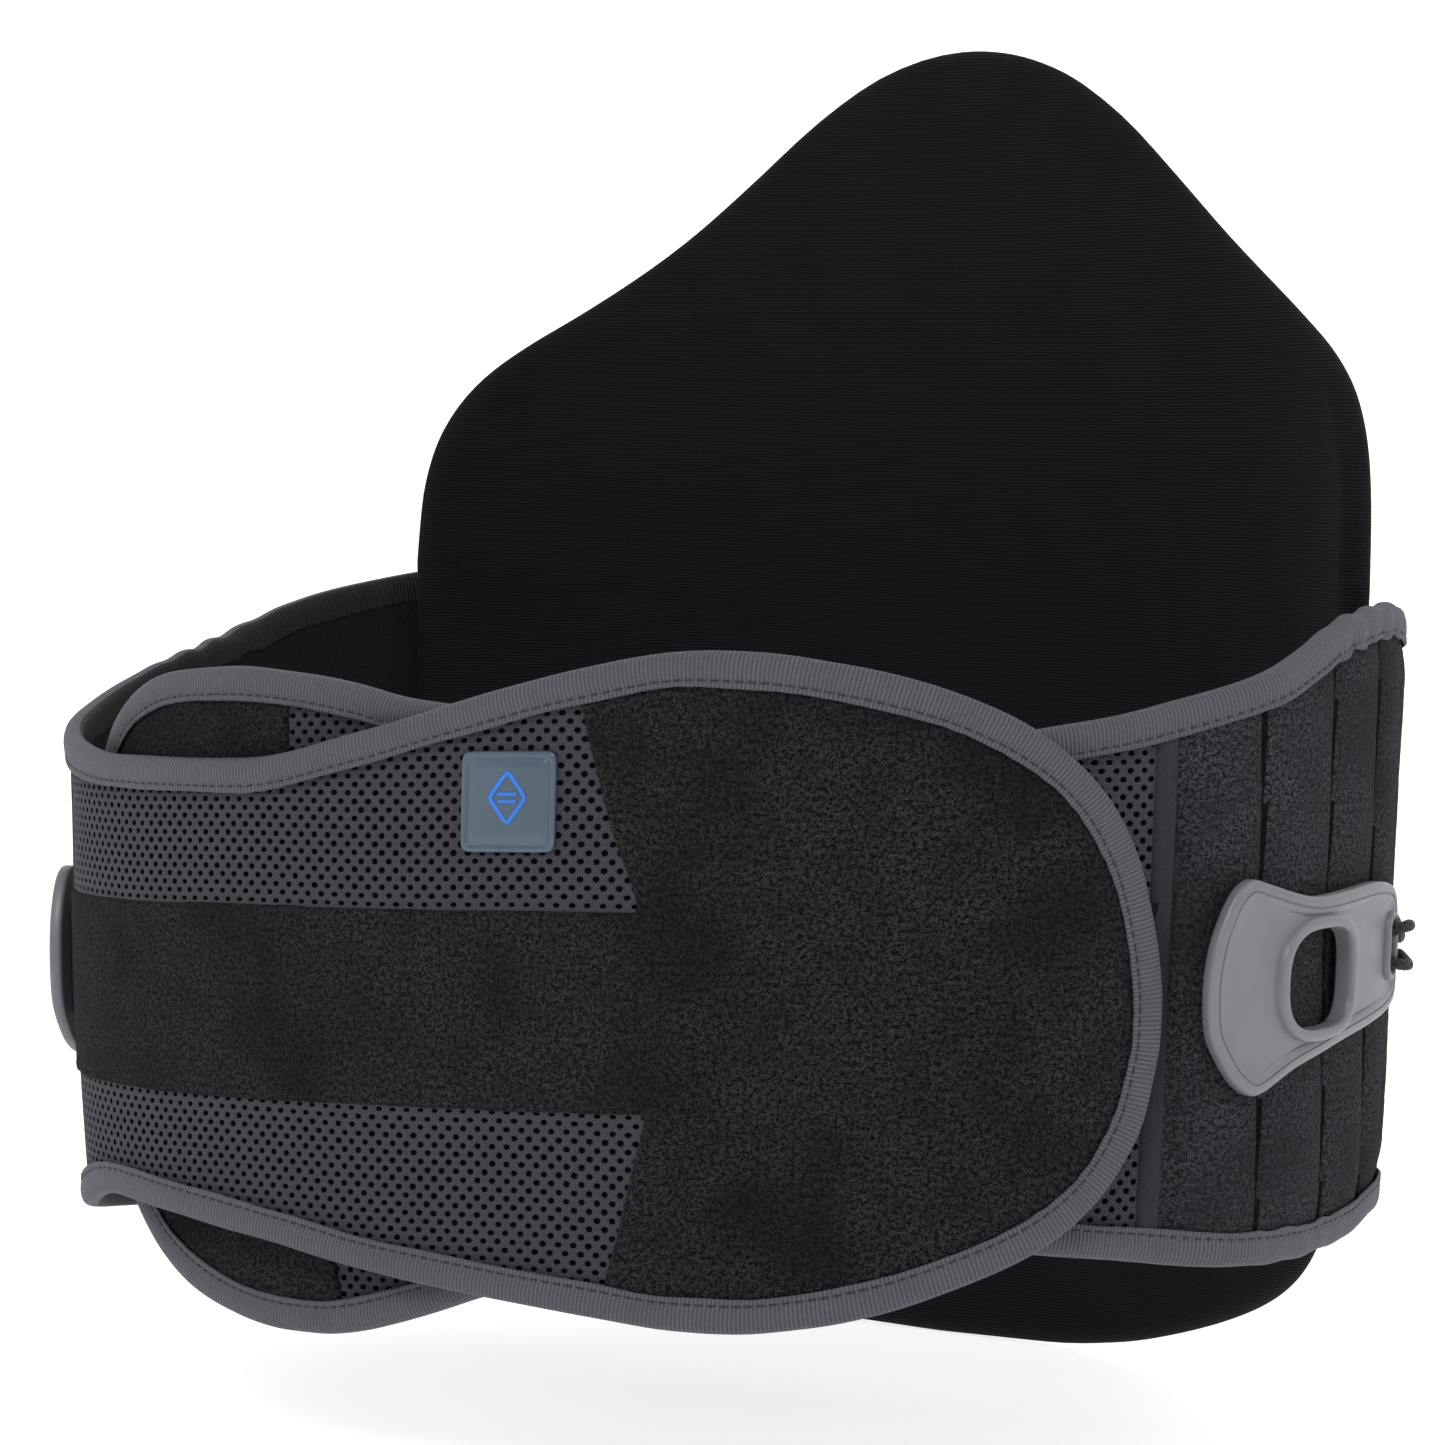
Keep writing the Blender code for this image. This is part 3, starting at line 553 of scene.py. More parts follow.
def moulded(name, color, rough=0.42, grain=0.00003, coat=0.0):
    """Moulded plastic with a fine spark-eroded grain and slight handling marks."""
    t = Tree(name, color, rough, spec=0.5)
    fine = t.noise(1800.0, 2.0, 0.5, kind="object")
    wide = t.noise(60.0, 4.0, 0.6, kind="object")
    t.color(t.mix(t.ramp(wide, 0.3, 0.75, 0, 1), spun(color, 0.94), spun(color, 1.06)))
    t.rough(t.ramp(wide, 0.25, 0.8, rough - 0.06, rough + 0.1))
    t.normal(t.bump(fine, grain, 0.7))
    t.bsdf.inputs["Coat Weight"].default_value = coat
    return t.mat


def braided(name, color):
    t = Tree(name, color, 0.7, sheen=0.12, spec=0.25)
    t.coords()
    a = t.math("SINE", t.math("ADD", t.math("MULTIPLY", t.u, 2600.0), t.math("MULTIPLY", t.v, 3600.0)))
    b = t.math("SINE", t.math("SUBTRACT", t.math("MULTIPLY", t.u, 2600.0), t.math("MULTIPLY", t.v, 3600.0)))
    height = t.math("MAXIMUM", a, b)
    fuzz = t.noise(2200.0, 2.0, 0.6)
    height = t.math("MULTIPLY_ADD", fuzz, 0.6, height)
    t.color(t.mix(t.ramp(height, -0.3, 1.5, 0, 1), spun(color, 0.5), spun(color, 1.8)))
    t.normal(t.bump(height, 0.00012, 0.8))
    return t.mat


def steel(name):
    t = Tree(name, (0.55, 0.55, 0.56), 0.3, metallic=1.0)
    f = t.noise(900.0, 2.0, 0.5, kind="object", stretch=(1, 1, 12))
    t.rough(t.ramp(f, 0.3, 0.7, 0.22, 0.42))
    t.normal(t.bump(f, 0.00001, 0.4))
    return t.mat


def flat_dark(name, color):
    t = Tree(name, color, 0.95, spec=0.1)
    f = t.noise(1500.0, 2.0, 0.5)
    t.color(t.mix(f, spun(color, 0.5), spun(color, 1.5)))
    return t.mat


KNIT = knit_fabric("posterior_knit", (0.0082, 0.0070, 0.0092))
MESH = spacer_fabric("spacer_mesh", (0.041, 0.039, 0.051))
# painted shade: near-black walls and floors of the mesh holes; the lining seen through them is black, and
# this colour, darker still, is painted shade in the holes
PIT_SHADE = flat_dark("spacer_mesh_hole_shade", (0.002, 0.002, 0.002))
LOOP = loop_fabric("loop_fabric_black", (0.0086, 0.0076, 0.0088), light=4.6)
SIDE = loop_fabric("loop_fabric_grey", (0.026, 0.024, 0.0285), light=2.6)
# painted shade: near-black pile for the sewn seams between the stuffed channels, standing in for the shadow
# the pile casts there
SEAM_SHADE = loop_fabric("loop_fabric_seam_shade", (0.005, 0.0045, 0.0055), light=1.5)
TAPE = tape_fabric("binding_tape", (0.086, 0.083, 0.102))
# painted shade: the inner half of the same folded tape, darkened as the shade it lies in inside the belt
TAPE_INSIDE_SHADE = tape_fabric("binding_tape_inside_shade", (0.010, 0.0095, 0.011))
LINING = plain_fabric("lining_black", (0.0085, 0.0078, 0.0092))
THREAD = thread("thread_dark", (0.016, 0.016, 0.019))
PLASTIC = moulded("tab_plastic", (0.152, 0.145, 0.165))
SHELL = moulded("plate_plastic", (0.03, 0.03, 0.034), 0.45)
CORD = braided("cord_black", (0.012, 0.012, 0.014))
STEEL = steel("pin_steel")
HOOK = moulded("hook_black", (0.018, 0.018, 0.02), 0.6, 0.0002)
LABEL = moulded("label_rubber", (0.045, 0.075, 0.105), 0.38, 0.00002, 0.2)
EMBLEM = moulded("label_emblem", (0.008, 0.15, 0.65), 0.4, 0.00001)
SMOOTH = plain_fabric("fold_cloth", (0.030, 0.028, 0.034), 0.0009)
TAPE_DARK = tape_fabric("keeper_webbing", (0.02, 0.02, 0.024))


# ------------------------------------------------------------------ camera and light
VIEW_AZIMUTH = math.radians(28.57)
VIEW_ELEVATION = math.radians(2.79)
VIEW_ROLL = math.radians(1.27)
LENS = 106.0716
SHIFT = -0.004955


def camera():
    cam_data = bpy.data.cameras.new("camera")
    cam = bpy.data.objects.new("camera", cam_data)
    bpy.context.scene.collection.objects.link(cam)
    cam.location = (0.5494 + SHIFT_X, -1.0087 + SHIFT_Y, 0.2361 + LIFT)
    az, el = VIEW_AZIMUTH, VIEW_ELEVATION
    back = Vector((math.sin(az) * math.cos(el), -math.cos(az) * math.cos(el), math.sin(el)))
    quat = back.to_track_quat("Z", "Y")
    cam.rotation_euler = (quat.to_matrix().to_4x4() @ Matrix.Rotation(VIEW_ROLL, 4, "Z")).to_euler()
    cam_data.sensor_width = 36.0
    cam_data.lens = LENS
    cam_data.shift_x = SHIFT
    cam_data.clip_start = 0.05
    cam_data.dof.use_dof = False
    bpy.context.scene.camera = cam


def area(name, location, target, size, power):
    data = bpy.data.lights.new(name, "AREA")
    data.shape = "RECTANGLE"
    data.size = size[0]
    data.size_y = size[1]
    data.energy = power
    obj = bpy.data.objects.new(name, data)
    bpy.context.scene.collection.objects.link(obj)
    obj.location = location
    aim = Vector(target) - Vector(location)
    obj.rotation_euler = aim.to_track_quat("-Z", "Y").to_euler()


def paper(name, cells, size, mat, glow):
    """Flat white sheet that glows a little, for the floor or the backdrop."""
    bm = bmesh.new()
    bmesh.ops.create_grid(bm, x_segments=cells, y_segments=cells, size=size)
    mesh = bpy.data.meshes.new(name)
    bm.to_mesh(mesh)
    bm.free()
    obj = bpy.data.objects.new(name, mesh)
    bpy.context.scene.collection.objects.link(obj)
    mat.bsdf.inputs["Emission Color"].default_value = (1.0, 1.0, 1.0, 1)
    mat.bsdf.inputs["Emission Strength"].default_value = glow
    mesh.materials.append(mat.mat)
    return obj


def studio():
    world = bpy.data.worlds.new("studio")
    bpy.context.scene.world = world
    world.use_nodes = True
    back = world.node_tree.nodes["Background"]
    back.inputs[0].default_value = (1.0, 1.0, 1.0, 1)
    back.inputs[1].default_value = 0.42
    area("key", (0.35, -1.5, 1.5), (0, 0, 0.15), (1.0, 0.8), 21.0)
    area("fill", (-1.5, -0.9, 0.9), (0, 0, 0.15), (0.9, 1.2), 4.0)
    area("rim", (1.6, 0.4, 1.1), (0, 0, 0.2), (0.9, 1.2), 9.0)
    mat = Tree("floor_white", (0.6, 0.6, 0.6), 0.9, spec=0.05)
    f = mat.noise(3.0, 2.0, 0.5, kind="object")
    mat.color(mat.mix(f, (0.595, 0.595, 0.595), (0.605, 0.605, 0.605)))
    floor = paper("floor", 8, 6.0, mat, 0.74)
    # white paper behind the belt, square to the view
    backdrop = paper("backdrop", 4, 7.0, Tree("backdrop_white", (0.5, 0.5, 0.5), 0.9, spec=0.0), 1.0)
    backdrop.location = (-2.0, 3.6, 3.0)
    backdrop.rotation_euler = (math.radians(90), 0, VIEW_AZIMUTH)


# ------------------------------------------------------------------ posterior panel
def nearest(px, pz, line):
    """Distance from points to a polyline, in millimetres."""
    best = np.full(px.shape, 1e9)
    for k in range(len(line) - 1):
        a = line[k]
        d = line[k + 1] - a
        t = np.clip(((px - a[0]) * d[0] + (pz - a[1]) * d[1]) / max(d @ d, 1e-9), 0, 1)
        best = np.minimum(best, (px - a[0] - t * d[0]) ** 2 + (pz - a[1] - t * d[1]) ** 2)
    return np.sqrt(best)


def posterior_panel():
    w = PANEL_HALF * np.sin(np.linspace(-math.pi / 2, math.pi / 2, 171))
    top = curve_at(PANEL_TOP, np.abs(w))
    bot = curve_at(PANEL_BOT, np.abs(w))
    for _ in range(3):
        top[1:-1] = (top[:-2] + 2 * top[1:-1] + top[2:]) / 4
        bot[1:-1] = (bot[:-2] + 2 * bot[1:-1] + bot[2:]) / 4
    v = np.linspace(0, 1, 141)
    v = 0.5 - 0.5 * np.cos(v * math.pi) * (0.72 + 0.28 * np.cos(v * math.pi) ** 2)
    z = bot[:, None] + (top - bot)[:, None] * v[None, :]
    ww = np.broadcast_to(w[:, None], z.shape)
    line = np.concatenate([np.stack([w, top], 1), np.stack([w[::-1], bot[::-1]], 1),
                           np.array([[w[0], top[0]]])])
    d = nearest(ww, z, line[::2] if len(line) % 2 else line)
    d[0] = d[-1] = 0
    d[:, 0] = d[:, -1] = 0
    rim = np.sqrt(np.clip(1 - (1 - np.clip(d / 5.2, 0, 1)) ** 2, 0, 1))
    soft = 0.25 * lumps(3, ww, z, 38.0) + 0.12 * lumps(4, ww, z, 17.0)
    crown = 0.9 * ease(d / 60.0)
    front = PANEL_N - PANEL_THICK * rim + (0.45 - crown * 0.4) * rim + soft * ease(d / 20)
    back = PANEL_N + (PANEL_THICK - 0.2) * rim
    outer = place(HALF + PANEL_MID + ww, z, back, 0.0)
    inner = place(HALF + PANEL_MID + ww, z, front, 0.0)
    uv = np.stack([ww * MM, z * MM], -1)
    obj = shell("posterior_panel", outer, inner, uv, [KNIT])
    bm = bmesh.new()
    bm.from_mesh(obj.data)
    bmesh.ops.remove_doubles(bm, verts=bm.verts, dist=0.00002)
    bmesh.ops.dissolve_degenerate(bm, edges=bm.edges, dist=0.00001)
    bmesh.ops.recalc_face_normals(bm, faces=bm.faces)
    bm.to_mesh(obj.data)
    bm.free()
    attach(obj, "back")
    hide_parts("posterior_cover_front", "posterior_foam", "posterior_shell", "posterior_cover_back")


# ------------------------------------------------------------------ wings
def outline(side):
    """Edge of one whole half, tip to rear gap, as an even closed path of (s, z)."""
    s = np.arange(-REAR_END, TIP + 0.01, 1.0)
    s = np.append(s[s < 150], 150 + (TIP - 150) * np.sin(np.linspace(0, math.pi / 2, 60)))
    top = np.stack([s, top_at(side, s)], 1)
    bot = np.stack([s[::-1], bottom_at(side, s[::-1])], 1)
    tip_gap = np.linspace(0, 1, 14)[1:-1, None]
    tip = top[-1] * (1 - tip_gap) + bot[0] * tip_gap
    rear_gap = np.linspace(0, 1, 140)[1:-1, None]
    rear = bot[-1] * (1 - rear_gap) + top[0] * rear_gap
    path = np.concatenate([top, tip, bot, rear])

    def even(p, step):
        q = np.vstack([p, p[:1]])
        run = np.concatenate([[0.0], np.cumsum(np.linalg.norm(np.diff(q, axis=0), axis=1))])
        marks = np.linspace(0, run[-1], int(run[-1] / step) + 1)[:-1]
        return np.stack([np.interp(marks, run, q[:, k]) for k in (0, 1)], 1)
    path = even(path, 1.0)
    for _ in range(10):
        path = (np.roll(path, 1, 0) + 2 * path + np.roll(path, -1, 0)) / 4
    return even(path, EDGE_STEP)


def outward(path):
    t = np.roll(path, -1, 0) - np.roll(path, 1, 0)
    for _ in range(4):
        t = (np.roll(t, 1, 0) + 2 * t + np.roll(t, -1, 0)) / 4
    t /= np.linalg.norm(t, axis=1)[:, None]
    return np.stack([-t[:, 1], t[:, 0]], 1)


def join_wing(obj, side):
    """Bakes a piece's placement into its mesh; points either side of the side seam between the rear half and
    the wing are worked out but not used.
    """
    a = place(side * (HINGE + 9.0), 120.0, HINGE_N)
    b = place(side * (HINGE - 9.0), 120.0, HINGE_N)
    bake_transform(obj)


CHANNELS = (187.0, 211.0, 244.0, 275.0, 301.0, 333.0, 364.0, 395.0, 426.0, 458.0, 480.0)


def lean(d, z):
    """The front channels lean a little toward the tip at their foot."""
    return d - 5.0 * (175.0 - z) / 120.0 * ease((300.0 - d) / 40.0)


def puff_at(side, s, z):
    """Height of the stuffed upright channels over the face line."""
    d = lean(-np.asarray(s, float), np.asarray(z, float))
    h = np.zeros_like(d)
    for k in range(len(CHANNELS) - 1):
        a, b = CHANNELS[k], CHANNELS[k + 1]
        t = np.clip((d - a) / (b - a), 0, 1)
        inside = (d >= a) & (d <= b)
        h = np.where(inside, (4 * t * (1 - t)) ** 0.42, h)
    top = top_at(side, s)
    bot = bottom_at(side, s)
    edge = ease(np.minimum(top - z, z - bot - 1) / 16.0)
    under = 1.0 - 0.84 * np.exp(-(((d - 236) / 42) ** 4)) * np.exp(-(((z - TAB_Z) / 26) ** 4))
    soft = 1 + 0.10 * lumps(21 + side, s, z, 26.0)
    return (3.0 * h - 0.35) * (0.2 + 0.8 * edge) * soft * under


def lining(side, word):
    s = np.arange(-REAR_END + 1.0, TIP - 2.0, 2.0)
    v = np.linspace(0, 1, 40)
    bot = bottom_at(side, s) + 1.0
    top = top_at(side, s) - 1.0
    z = bot[:, None] + (top - bot)[:, None] * v[None, :]
    ss = np.broadcast_to(s[:, None], z.shape)
    seam = np.zeros_like(z)
    for c in CHANNELS[1:-1]:
        seam += np.exp(-((-ss - c) / 1.8) ** 2)
    edge = np.minimum(z - bot[:, None], top[:, None] - z)
    inner = -2.45 - 0.30 * ease(edge / 14) * (1 - seam) - 0.12 * lumps(31 + side, ss, z, 22.0)
    outer = np.full_like(z, -0.9)
    uv = np.stack([ss * MM, z * MM], -1)
    obj = shell(word + "_lining", wing(side, ss, z, outer), wing(side, ss, z, inner), uv, [LINING])
    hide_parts(word + "_wing_lining", word + "_rear_lining")
    join_wing(obj, side)


def spacer(side, word):
    """Spacer mesh with its real staggered holes, each a small well through the face."""
    pu, pz = 4.2, 2.1
    s0, s1 = -MESH_END - 2, 172.0
    nu = int((s1 - s0) / pu)
    nz = int((204.0 - 30.0) / pz)
    verts = []
    uvs = []
    faces = []
    tint = []
    grid = {}
    rng = np.random.default_rng(55 + side)

    def warp(s, z):
        # the knit lies in level rows that crowd a little toward the edges and the band
        return s + 0.25 * math.sin(z * 0.11 + s * 0.03), z + 0.22 * math.sin(s * 0.07)

    def add(s, z, n):
        s, z = warp(s, z)
        verts.append((s, z, n))
        uvs.append((s * MM, z * MM))
        return len(verts) - 1

    def corner(a, b):
        key = (a, b)
        if key not in grid:
            grid[key] = add(s0 + a * pu / 2, 30.0 + b * pz, 0.30)
        return grid[key]
    mids = {}

    def middle(a, b):
        key = (a, b)
        if key not in mids:
            mids[key] = add(s0 + a * pu / 2, 30.0 + (b + 0.5) * pz, 0.16)
        return mids[key]
    for b in range(nz):
        z = 30.0 + (b + 0.5) * pz
        shift = b % 2
        for a in range(nu):
            left = 2 * a + shift
            s = s0 + (left + 1) * pu / 2
            if s > s1 - 2:
                continue
            top = float(top_at(side, s))
            bot = float(bottom_at(side, s))
            if z > top - 1.6 or z < bot + 1.6:
                continue
            edge = float(curve_at(INNER_PATCH if side > 0 else PATCH, z))
            if s > edge + 5 or (94.0 < z < 135.5):
                continue
            ring_ids = [corner(left, b), corner(left + 1, b), corner(left + 2, b), middle(left + 2, b),
                        corner(left + 2, b + 1), corner(left + 1, b + 1), corner(left, b + 1),
                        middle(left, b)]
            squash = 1.0 - 0.55 * math.exp(-min(top - z, z - bot) / 6.0)
            squash *= 1.0 - 0.35 * math.exp(-abs(abs(z - BAND_Z) - BAND_HALF) / 3.0)
            rs = 0.97 * (1 + 0.07 * rng.uniform(-1, 1))
            rz = 0.80 * squash * (1 + 0.07 * rng.uniform(-1, 1))
            cs = s + rng.uniform(-0.07, 0.07)
            cz = z + rng.uniform(-0.05, 0.05)
            rim = []
            mouth = []
            floor = []
            for q in (5, 6, 7, 0, 1, 2, 3, 4):
                ang = 2 * math.pi * q / 8
                ca, sa = math.cos(ang), math.sin(ang)
                rim.append(add(cs + rs * 1.22 * ca, cz + rz * 1.22 * sa, 0.27))
                mouth.append(add(cs + rs * ca, cz + rz * sa, 0.12))
                floor.append(add(cs + rs * 0.86 * ca, cz + rz * 0.86 * sa, -0.62))
            # faces with index 1 (the hole walls and floor) take the painted-shade hole material
            for q in range(8):
                r = (q + 1) % 8
                faces.append((ring_ids[q], ring_ids[r], rim[r], rim[q]))
                tint.append(0)
                faces.append((rim[q], rim[r], mouth[r], mouth[q]))
                tint.append(0)
                faces.append((mouth[q], mouth[r], floor[r], floor[q]))
                tint.append(1)
            faces.append(tuple(floor))
            tint.append(1)
    v = np.array(verts)
    pts = wing(side, v[:, 0], v[:, 1], v[:, 2])
    obj = make(word + "_spacer_mesh", pts, faces, [MESH, PIT_SHADE], uv=np.array(uvs), index=tint)
    if side > 0:
        obj.data.flip_normals()
    mod = obj.modifiers.new("cloth", "SOLIDIFY")
    mod.thickness = 0.00025
    mod.offset = -1.0
    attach(obj, word + "_wing")
    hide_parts(word + "_wing_mesh")


def loop_face(side, word, step):
    """The centre band and the end patch it runs into, one brushed fabric with a lipped edge."""
    s = np.arange(-MESH_END - 1, TIP - 1.5, step)
    z = np.arange(31.0, 201.0, step)
    ss, zz = np.meshgrid(s, z, indexing="ij")
    wob = 0.35 * lumps(71 + side, ss, zz, 9.0) + 0.5 * lumps(72 + side, ss, zz, 31.0)
    d1 = BAND_HALF - np.abs(zz - BAND_Z) + wob * 0.6
    d2 = (ss - curve_at(INNER_PATCH if side > 0 else PATCH, zz)) * 0.97 + wob
    k = 2.0
    h = np.clip(0.5 + 0.5 * (d1 - d2) / k, 0, 1)
    d = d2 * (1 - h) + d1 * h + k * h * (1 - h)
    top = top_at(side, ss) - 1.2
    bot = bottom_at(side, ss) + 1.2
    keep = (d > -0.7) & (zz < top) & (zz > bot)
    rng = np.random.default_rng(81 + side)
    fuzz = rng.uniform(-1, 1, ss.shape)
    fuzz = fuzz * 0.6 + 0.8 * lumps(91 + side, ss, zz, 2.1)
    rise = ease(d / 1.3 + 0.45)
    lip = 0.22 * np.exp(-((d - 1.5) / 1.1) ** 2)
    n = -0.15 + 1.25 * rise + lip + 0.11 * fuzz * rise + 0.10 * lumps(95 + side, ss, zz, 8.0) * rise
    edge = np.minimum(top_at(side, ss) - zz, zz - bottom_at(side, ss))
    n = n - 0.12 * ease((9 - edge) / 5)
    pts = wing(side, ss, zz, n)
    ids = -np.ones(ss.shape, int)
    cell = keep[:-1, :-1] & keep[1:, :-1] & keep[1:, 1:] & keep[:-1, 1:]
    used = np.zeros(ss.shape, bool)
    used[:-1, :-1] |= cell
    used[1:, :-1] |= cell
    used[1:, 1:] |= cell
    used[:-1, 1:] |= cell
    ids[used] = np.arange(used.sum())
    i, j = np.nonzero(cell)
    faces = np.stack([ids[i, j], ids[i + 1, j], ids[i + 1, j + 1], ids[i, j + 1]], -1)
    if side > 0:
        faces = faces[:, ::-1]
    obj = make(word + "_loop_face", pts[used], faces, [LOOP],
               uv=np.stack([ss[used] * MM, zz[used] * MM], -1))
    mod = obj.modifiers.new("cloth", "SOLIDIFY")
    mod.thickness = 0.0005
    mod.offset = -1.0
    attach(obj, word + "_wing")
    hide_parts(word + "_centre_band", word + "_end_patch")


def side_panel(side, word):
    s = np.arange(-REAR_END + 1.0, -SIDE_START + 0.5, 1.0)
    v = np.linspace(0, 1, 110)
    bot = bottom_at(side, s) + 1.0
    top = top_at(side, s) - 1.0
    z = bot[:, None] + (top - bot)[:, None] * v[None, :]
    ss = np.broadcast_to(s[:, None], z.shape)
    rng = np.random.default_rng(101 + side)
    fuzz = rng.uniform(-1, 1, z.shape) * 0.07 + 0.05 * lumps(103 + side, ss, z, 3.0)
    outer = 0.05 + puff_at(side, ss, z) + fuzz
    inner = np.full_like(z, -0.75)
    uv = np.stack([ss * MM, z * MM], -1)
    obj = shell(word + "_side_cloth", wing(side, ss, z, outer), wing(side, ss, z, inner), uv,
                [SIDE, SEAM_SHADE])
    # the sewn seams between channels are painted dark as shade, where the pile shadows them
    mid = (ss[:-1, :-1] + ss[1:, 1:]) / 2
    high = (z[:-1, :-1] + z[1:, 1:]) / 2
    along = lean(-mid, high)
    seam_shade = np.min(np.abs(along[..., None] - np.array(CHANNELS[1:-1])), -1) < 0.9
    flags = np.zeros(len(obj.data.polygons), np.int32)
    flags[:seam_shade.size] = seam_shade.reshape(-1)
    obj.data.polygons.foreach_set("material_index", flags)
    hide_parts(word + "_side_panel", word + "_rear_panel")
    join_wing(obj, side)


def fold_strip(side, word):
    """Turned edge of the padded side cloth where it meets the spacer mesh."""
    s = -184.0
    z = np.arange(float(bottom_at(side, s)) + 1.5, float(top_at(side, s)) - 1.5, 1.5)
    prof = np.array([(-3.2, 0.1), (-3.1, 0.75), (-2.2, 1.25), (-0.6, 1.45), (1.2, 1.3), (2.6, 0.9),
                     (3.3, 0.2), (3.0, -0.6), (-3.0, -0.6)])
    zz = np.broadcast_to(z[:, None], (len(z), len(prof)))
    ss = s + prof[None, :, 0] + 0.25 * lumps(111 + side, 0, zz, 17.0)
    nn = prof[None, :, 1] + 0.08 * lumps(113 + side, 9, zz, 9.0)
    nn = np.broadcast_to(nn, zz.shape)
    uv = np.stack([zz * MM, ss * MM], -1)
    obj = sweep_closed(word + "_fold_strip", wing(side, ss, zz, nn), uv, [SMOOTH], closed=False)
    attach(obj, word + "_wing")


FOLD = np.array([(-7.5, 1.62), (-7.55, 1.88), (-7.2, 2.12), (-6.6, 2.16), (-6.0, 1.98), (-5.4, 2.08),
                 (-4.4, 2.36), (-3.0, 2.52), (-1.5, 2.42), (-0.2, 2.0), (0.65, 1.2), (1.0, 0.2),
                 (1.05, -0.8), (0.8, -1.9), (0.1, -2.7), (-1.3, -3.15), (-3.0, -3.3), (-4.8, -3.2),
                 (-6.2, -3.0), (-7.1, -3.02), (-7.4, -2.85), (-7.2, -2.62), (-5.0, -2.6),
                 (-2.0, -2.55), (-0.4, -2.0), (0.0, -0.6), (-0.4, 0.9), (-2.0, 1.4), (-5.0, 1.55)])
STITCH_A = -5.9


def binding(side, word):
    path = outline(side)
    out = outward(path)
    k = len(path)
    t = np.arange(k) * EDGE_STEP
    m = len(FOLD)
    period = t[-1] + EDGE_STEP
    # gathers where the edge curves, otherwise a faint unevenness
    turn = np.abs(np.cross(np.roll(out, 1, 0), np.roll(out, -1, 0))) / (2 * EDGE_STEP)
    for _ in range(12):
        turn = (np.roll(turn, 1) + 2 * turn + np.roll(turn, -1)) / 4
    gather = np.clip(turn * 45, 0.15, 1.0)

    def wave(length, phase, seed):
        cycles = max(1, round(period / length))
        rng = np.random.default_rng(seed)
        drift = np.interp(t, np.linspace(0, period, 40), np.append(rng.uniform(-1.5, 1.5, 39), 0))
        drift = drift - drift[0] * (1 - t / period)
        return np.sin(2 * math.pi * cycles * t / period + phase + drift)
    ripple = (0.5 * wave(5.2, 0.3, 5) + 0.5 * wave(8.3, 1.1, 6)) * gather
    sway = 0.6 * wave(37, 0.7, 7) + 0.4 * wave(83, 2.0, 8)
    # crumples on the long top edge of the side
    high = path[:, 1] > 130
    low = path[:, 1] < 90
    crumple = np.exp(-((path[:, 0] + 262) / 20) ** 2) * high
    crumple = crumple + 0.5 * np.exp(-((path[:, 0] + 290) / 14) ** 2) * high
    crumple = crumple + 0.5 * np.exp(-((path[:, 0] + 240) / 24) ** 2) * low
    ripple = ripple + 2.2 * crumple * wave(11.0, 0.0, 9)
    waver = 0.55 * crumple * wave(17.0, 1.0, 10) + 0.12 * sway
    a = np.broadcast_to(FOLD[:, 0], (k, m)).copy()
    n = np.broadcast_to(FOLD[:, 1], (k, m)).copy()
    outside = np.clip((FOLD[:, 1] - 1.4) / 0.8, 0, 1)
    inner_edge = np.clip((-FOLD[:, 0] - 3.0) / 4.0, 0, 1)
    a += waver[:, None]
    a -= (0.22 * ripple + 0.3 * sway)[:, None] * inner_edge
    n += (0.16 * ripple)[:, None] * outside * np.clip(-FOLD[:, 0] / 3.0, 0, 1)
    # the stitches draw the tape down at every few millimetres
    pull = 0.5 - 0.5 * np.cos(2 * math.pi * round(period / STITCH_PITCH) * t / period)
    near = np.exp(-((FOLD[:, 0] - STITCH_A) / 0.9) ** 2) * outside
    n -= 0.12 * pull[:, None] * near
    s = path[:, 0, None] + out[:, 0, None] * a
    z = path[:, 1, None] + out[:, 1, None] * a
    # over the stuffed channels the fold sits on the raised cloth
    lift = puff_at(side, s, z) * np.clip((FOLD[:, 1] - 1.2), 0, 1) * ease((-a - 2.5) / 3.5)
    lift = np.where(s < -SIDE_START, lift, 0.0)
    tape_u = np.broadcast_to(t[:, None], (k, m)) * MM
    girth = np.concatenate([[0.0], np.cumsum(np.linalg.norm(np.diff(FOLD, axis=0), axis=1))])
    uv = np.stack([tape_u, np.broadcast_to(girth[None, :] * MM, (k, m))], -1)
    pts = place(-side * s, z, base_at(side, np.broadcast_to(path[:, 0, None], s.shape),
                                      np.broadcast_to(path[:, 1, None], s.shape)) + n + 0.55 * lift)
    obj = sweep_closed(word + "_binding", pts, uv, [TAPE, TAPE_INSIDE_SHADE])
    # faces of the fold well below the face line get the painted-shade tape
    under = (FOLD[:, 1] + np.roll(FOLD[:, 1], -1)) / 2 < -1.4
    obj.data.polygons.foreach_set("material_index", np.tile(under.astype(np.int32), k))
    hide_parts(word + "_wing_binding", word + "_rear_binding")
    join_wing(obj, side)
    stitches(side, word, path, out)


def capsule(count=6):
    """Unit stitch: a small rounded bar along x."""
    rows = [(-1.0, 0.0), (-0.86, 0.62), (-0.5, 0.95), (0.5, 0.95), (0.86, 0.62), (1.0, 0.0)]
    verts = [(rows[0][0], 0, 0)]
    for x, r in rows[1:-1]:
        for q in range(count):
            ang = 2 * math.pi * q / count
            verts.append((x, r * math.cos(ang), r * math.sin(ang)))
    verts.append((rows[-1][0], 0, 0))
    faces = []
    last = len(verts) - 1
    for q in range(count):
        faces.append((0, 1 + (q + 1) % count, 1 + q))
        faces.append((last, last - count + q, last - count + (q + 1) % count))
    for k in range(len(rows) - 3):
        for q in range(count):
            a = 1 + k * count
            faces.append((a + q, a + (q + 1) % count, a + count + (q + 1) % count, a + count + q))
    return np.array(verts, float), faces


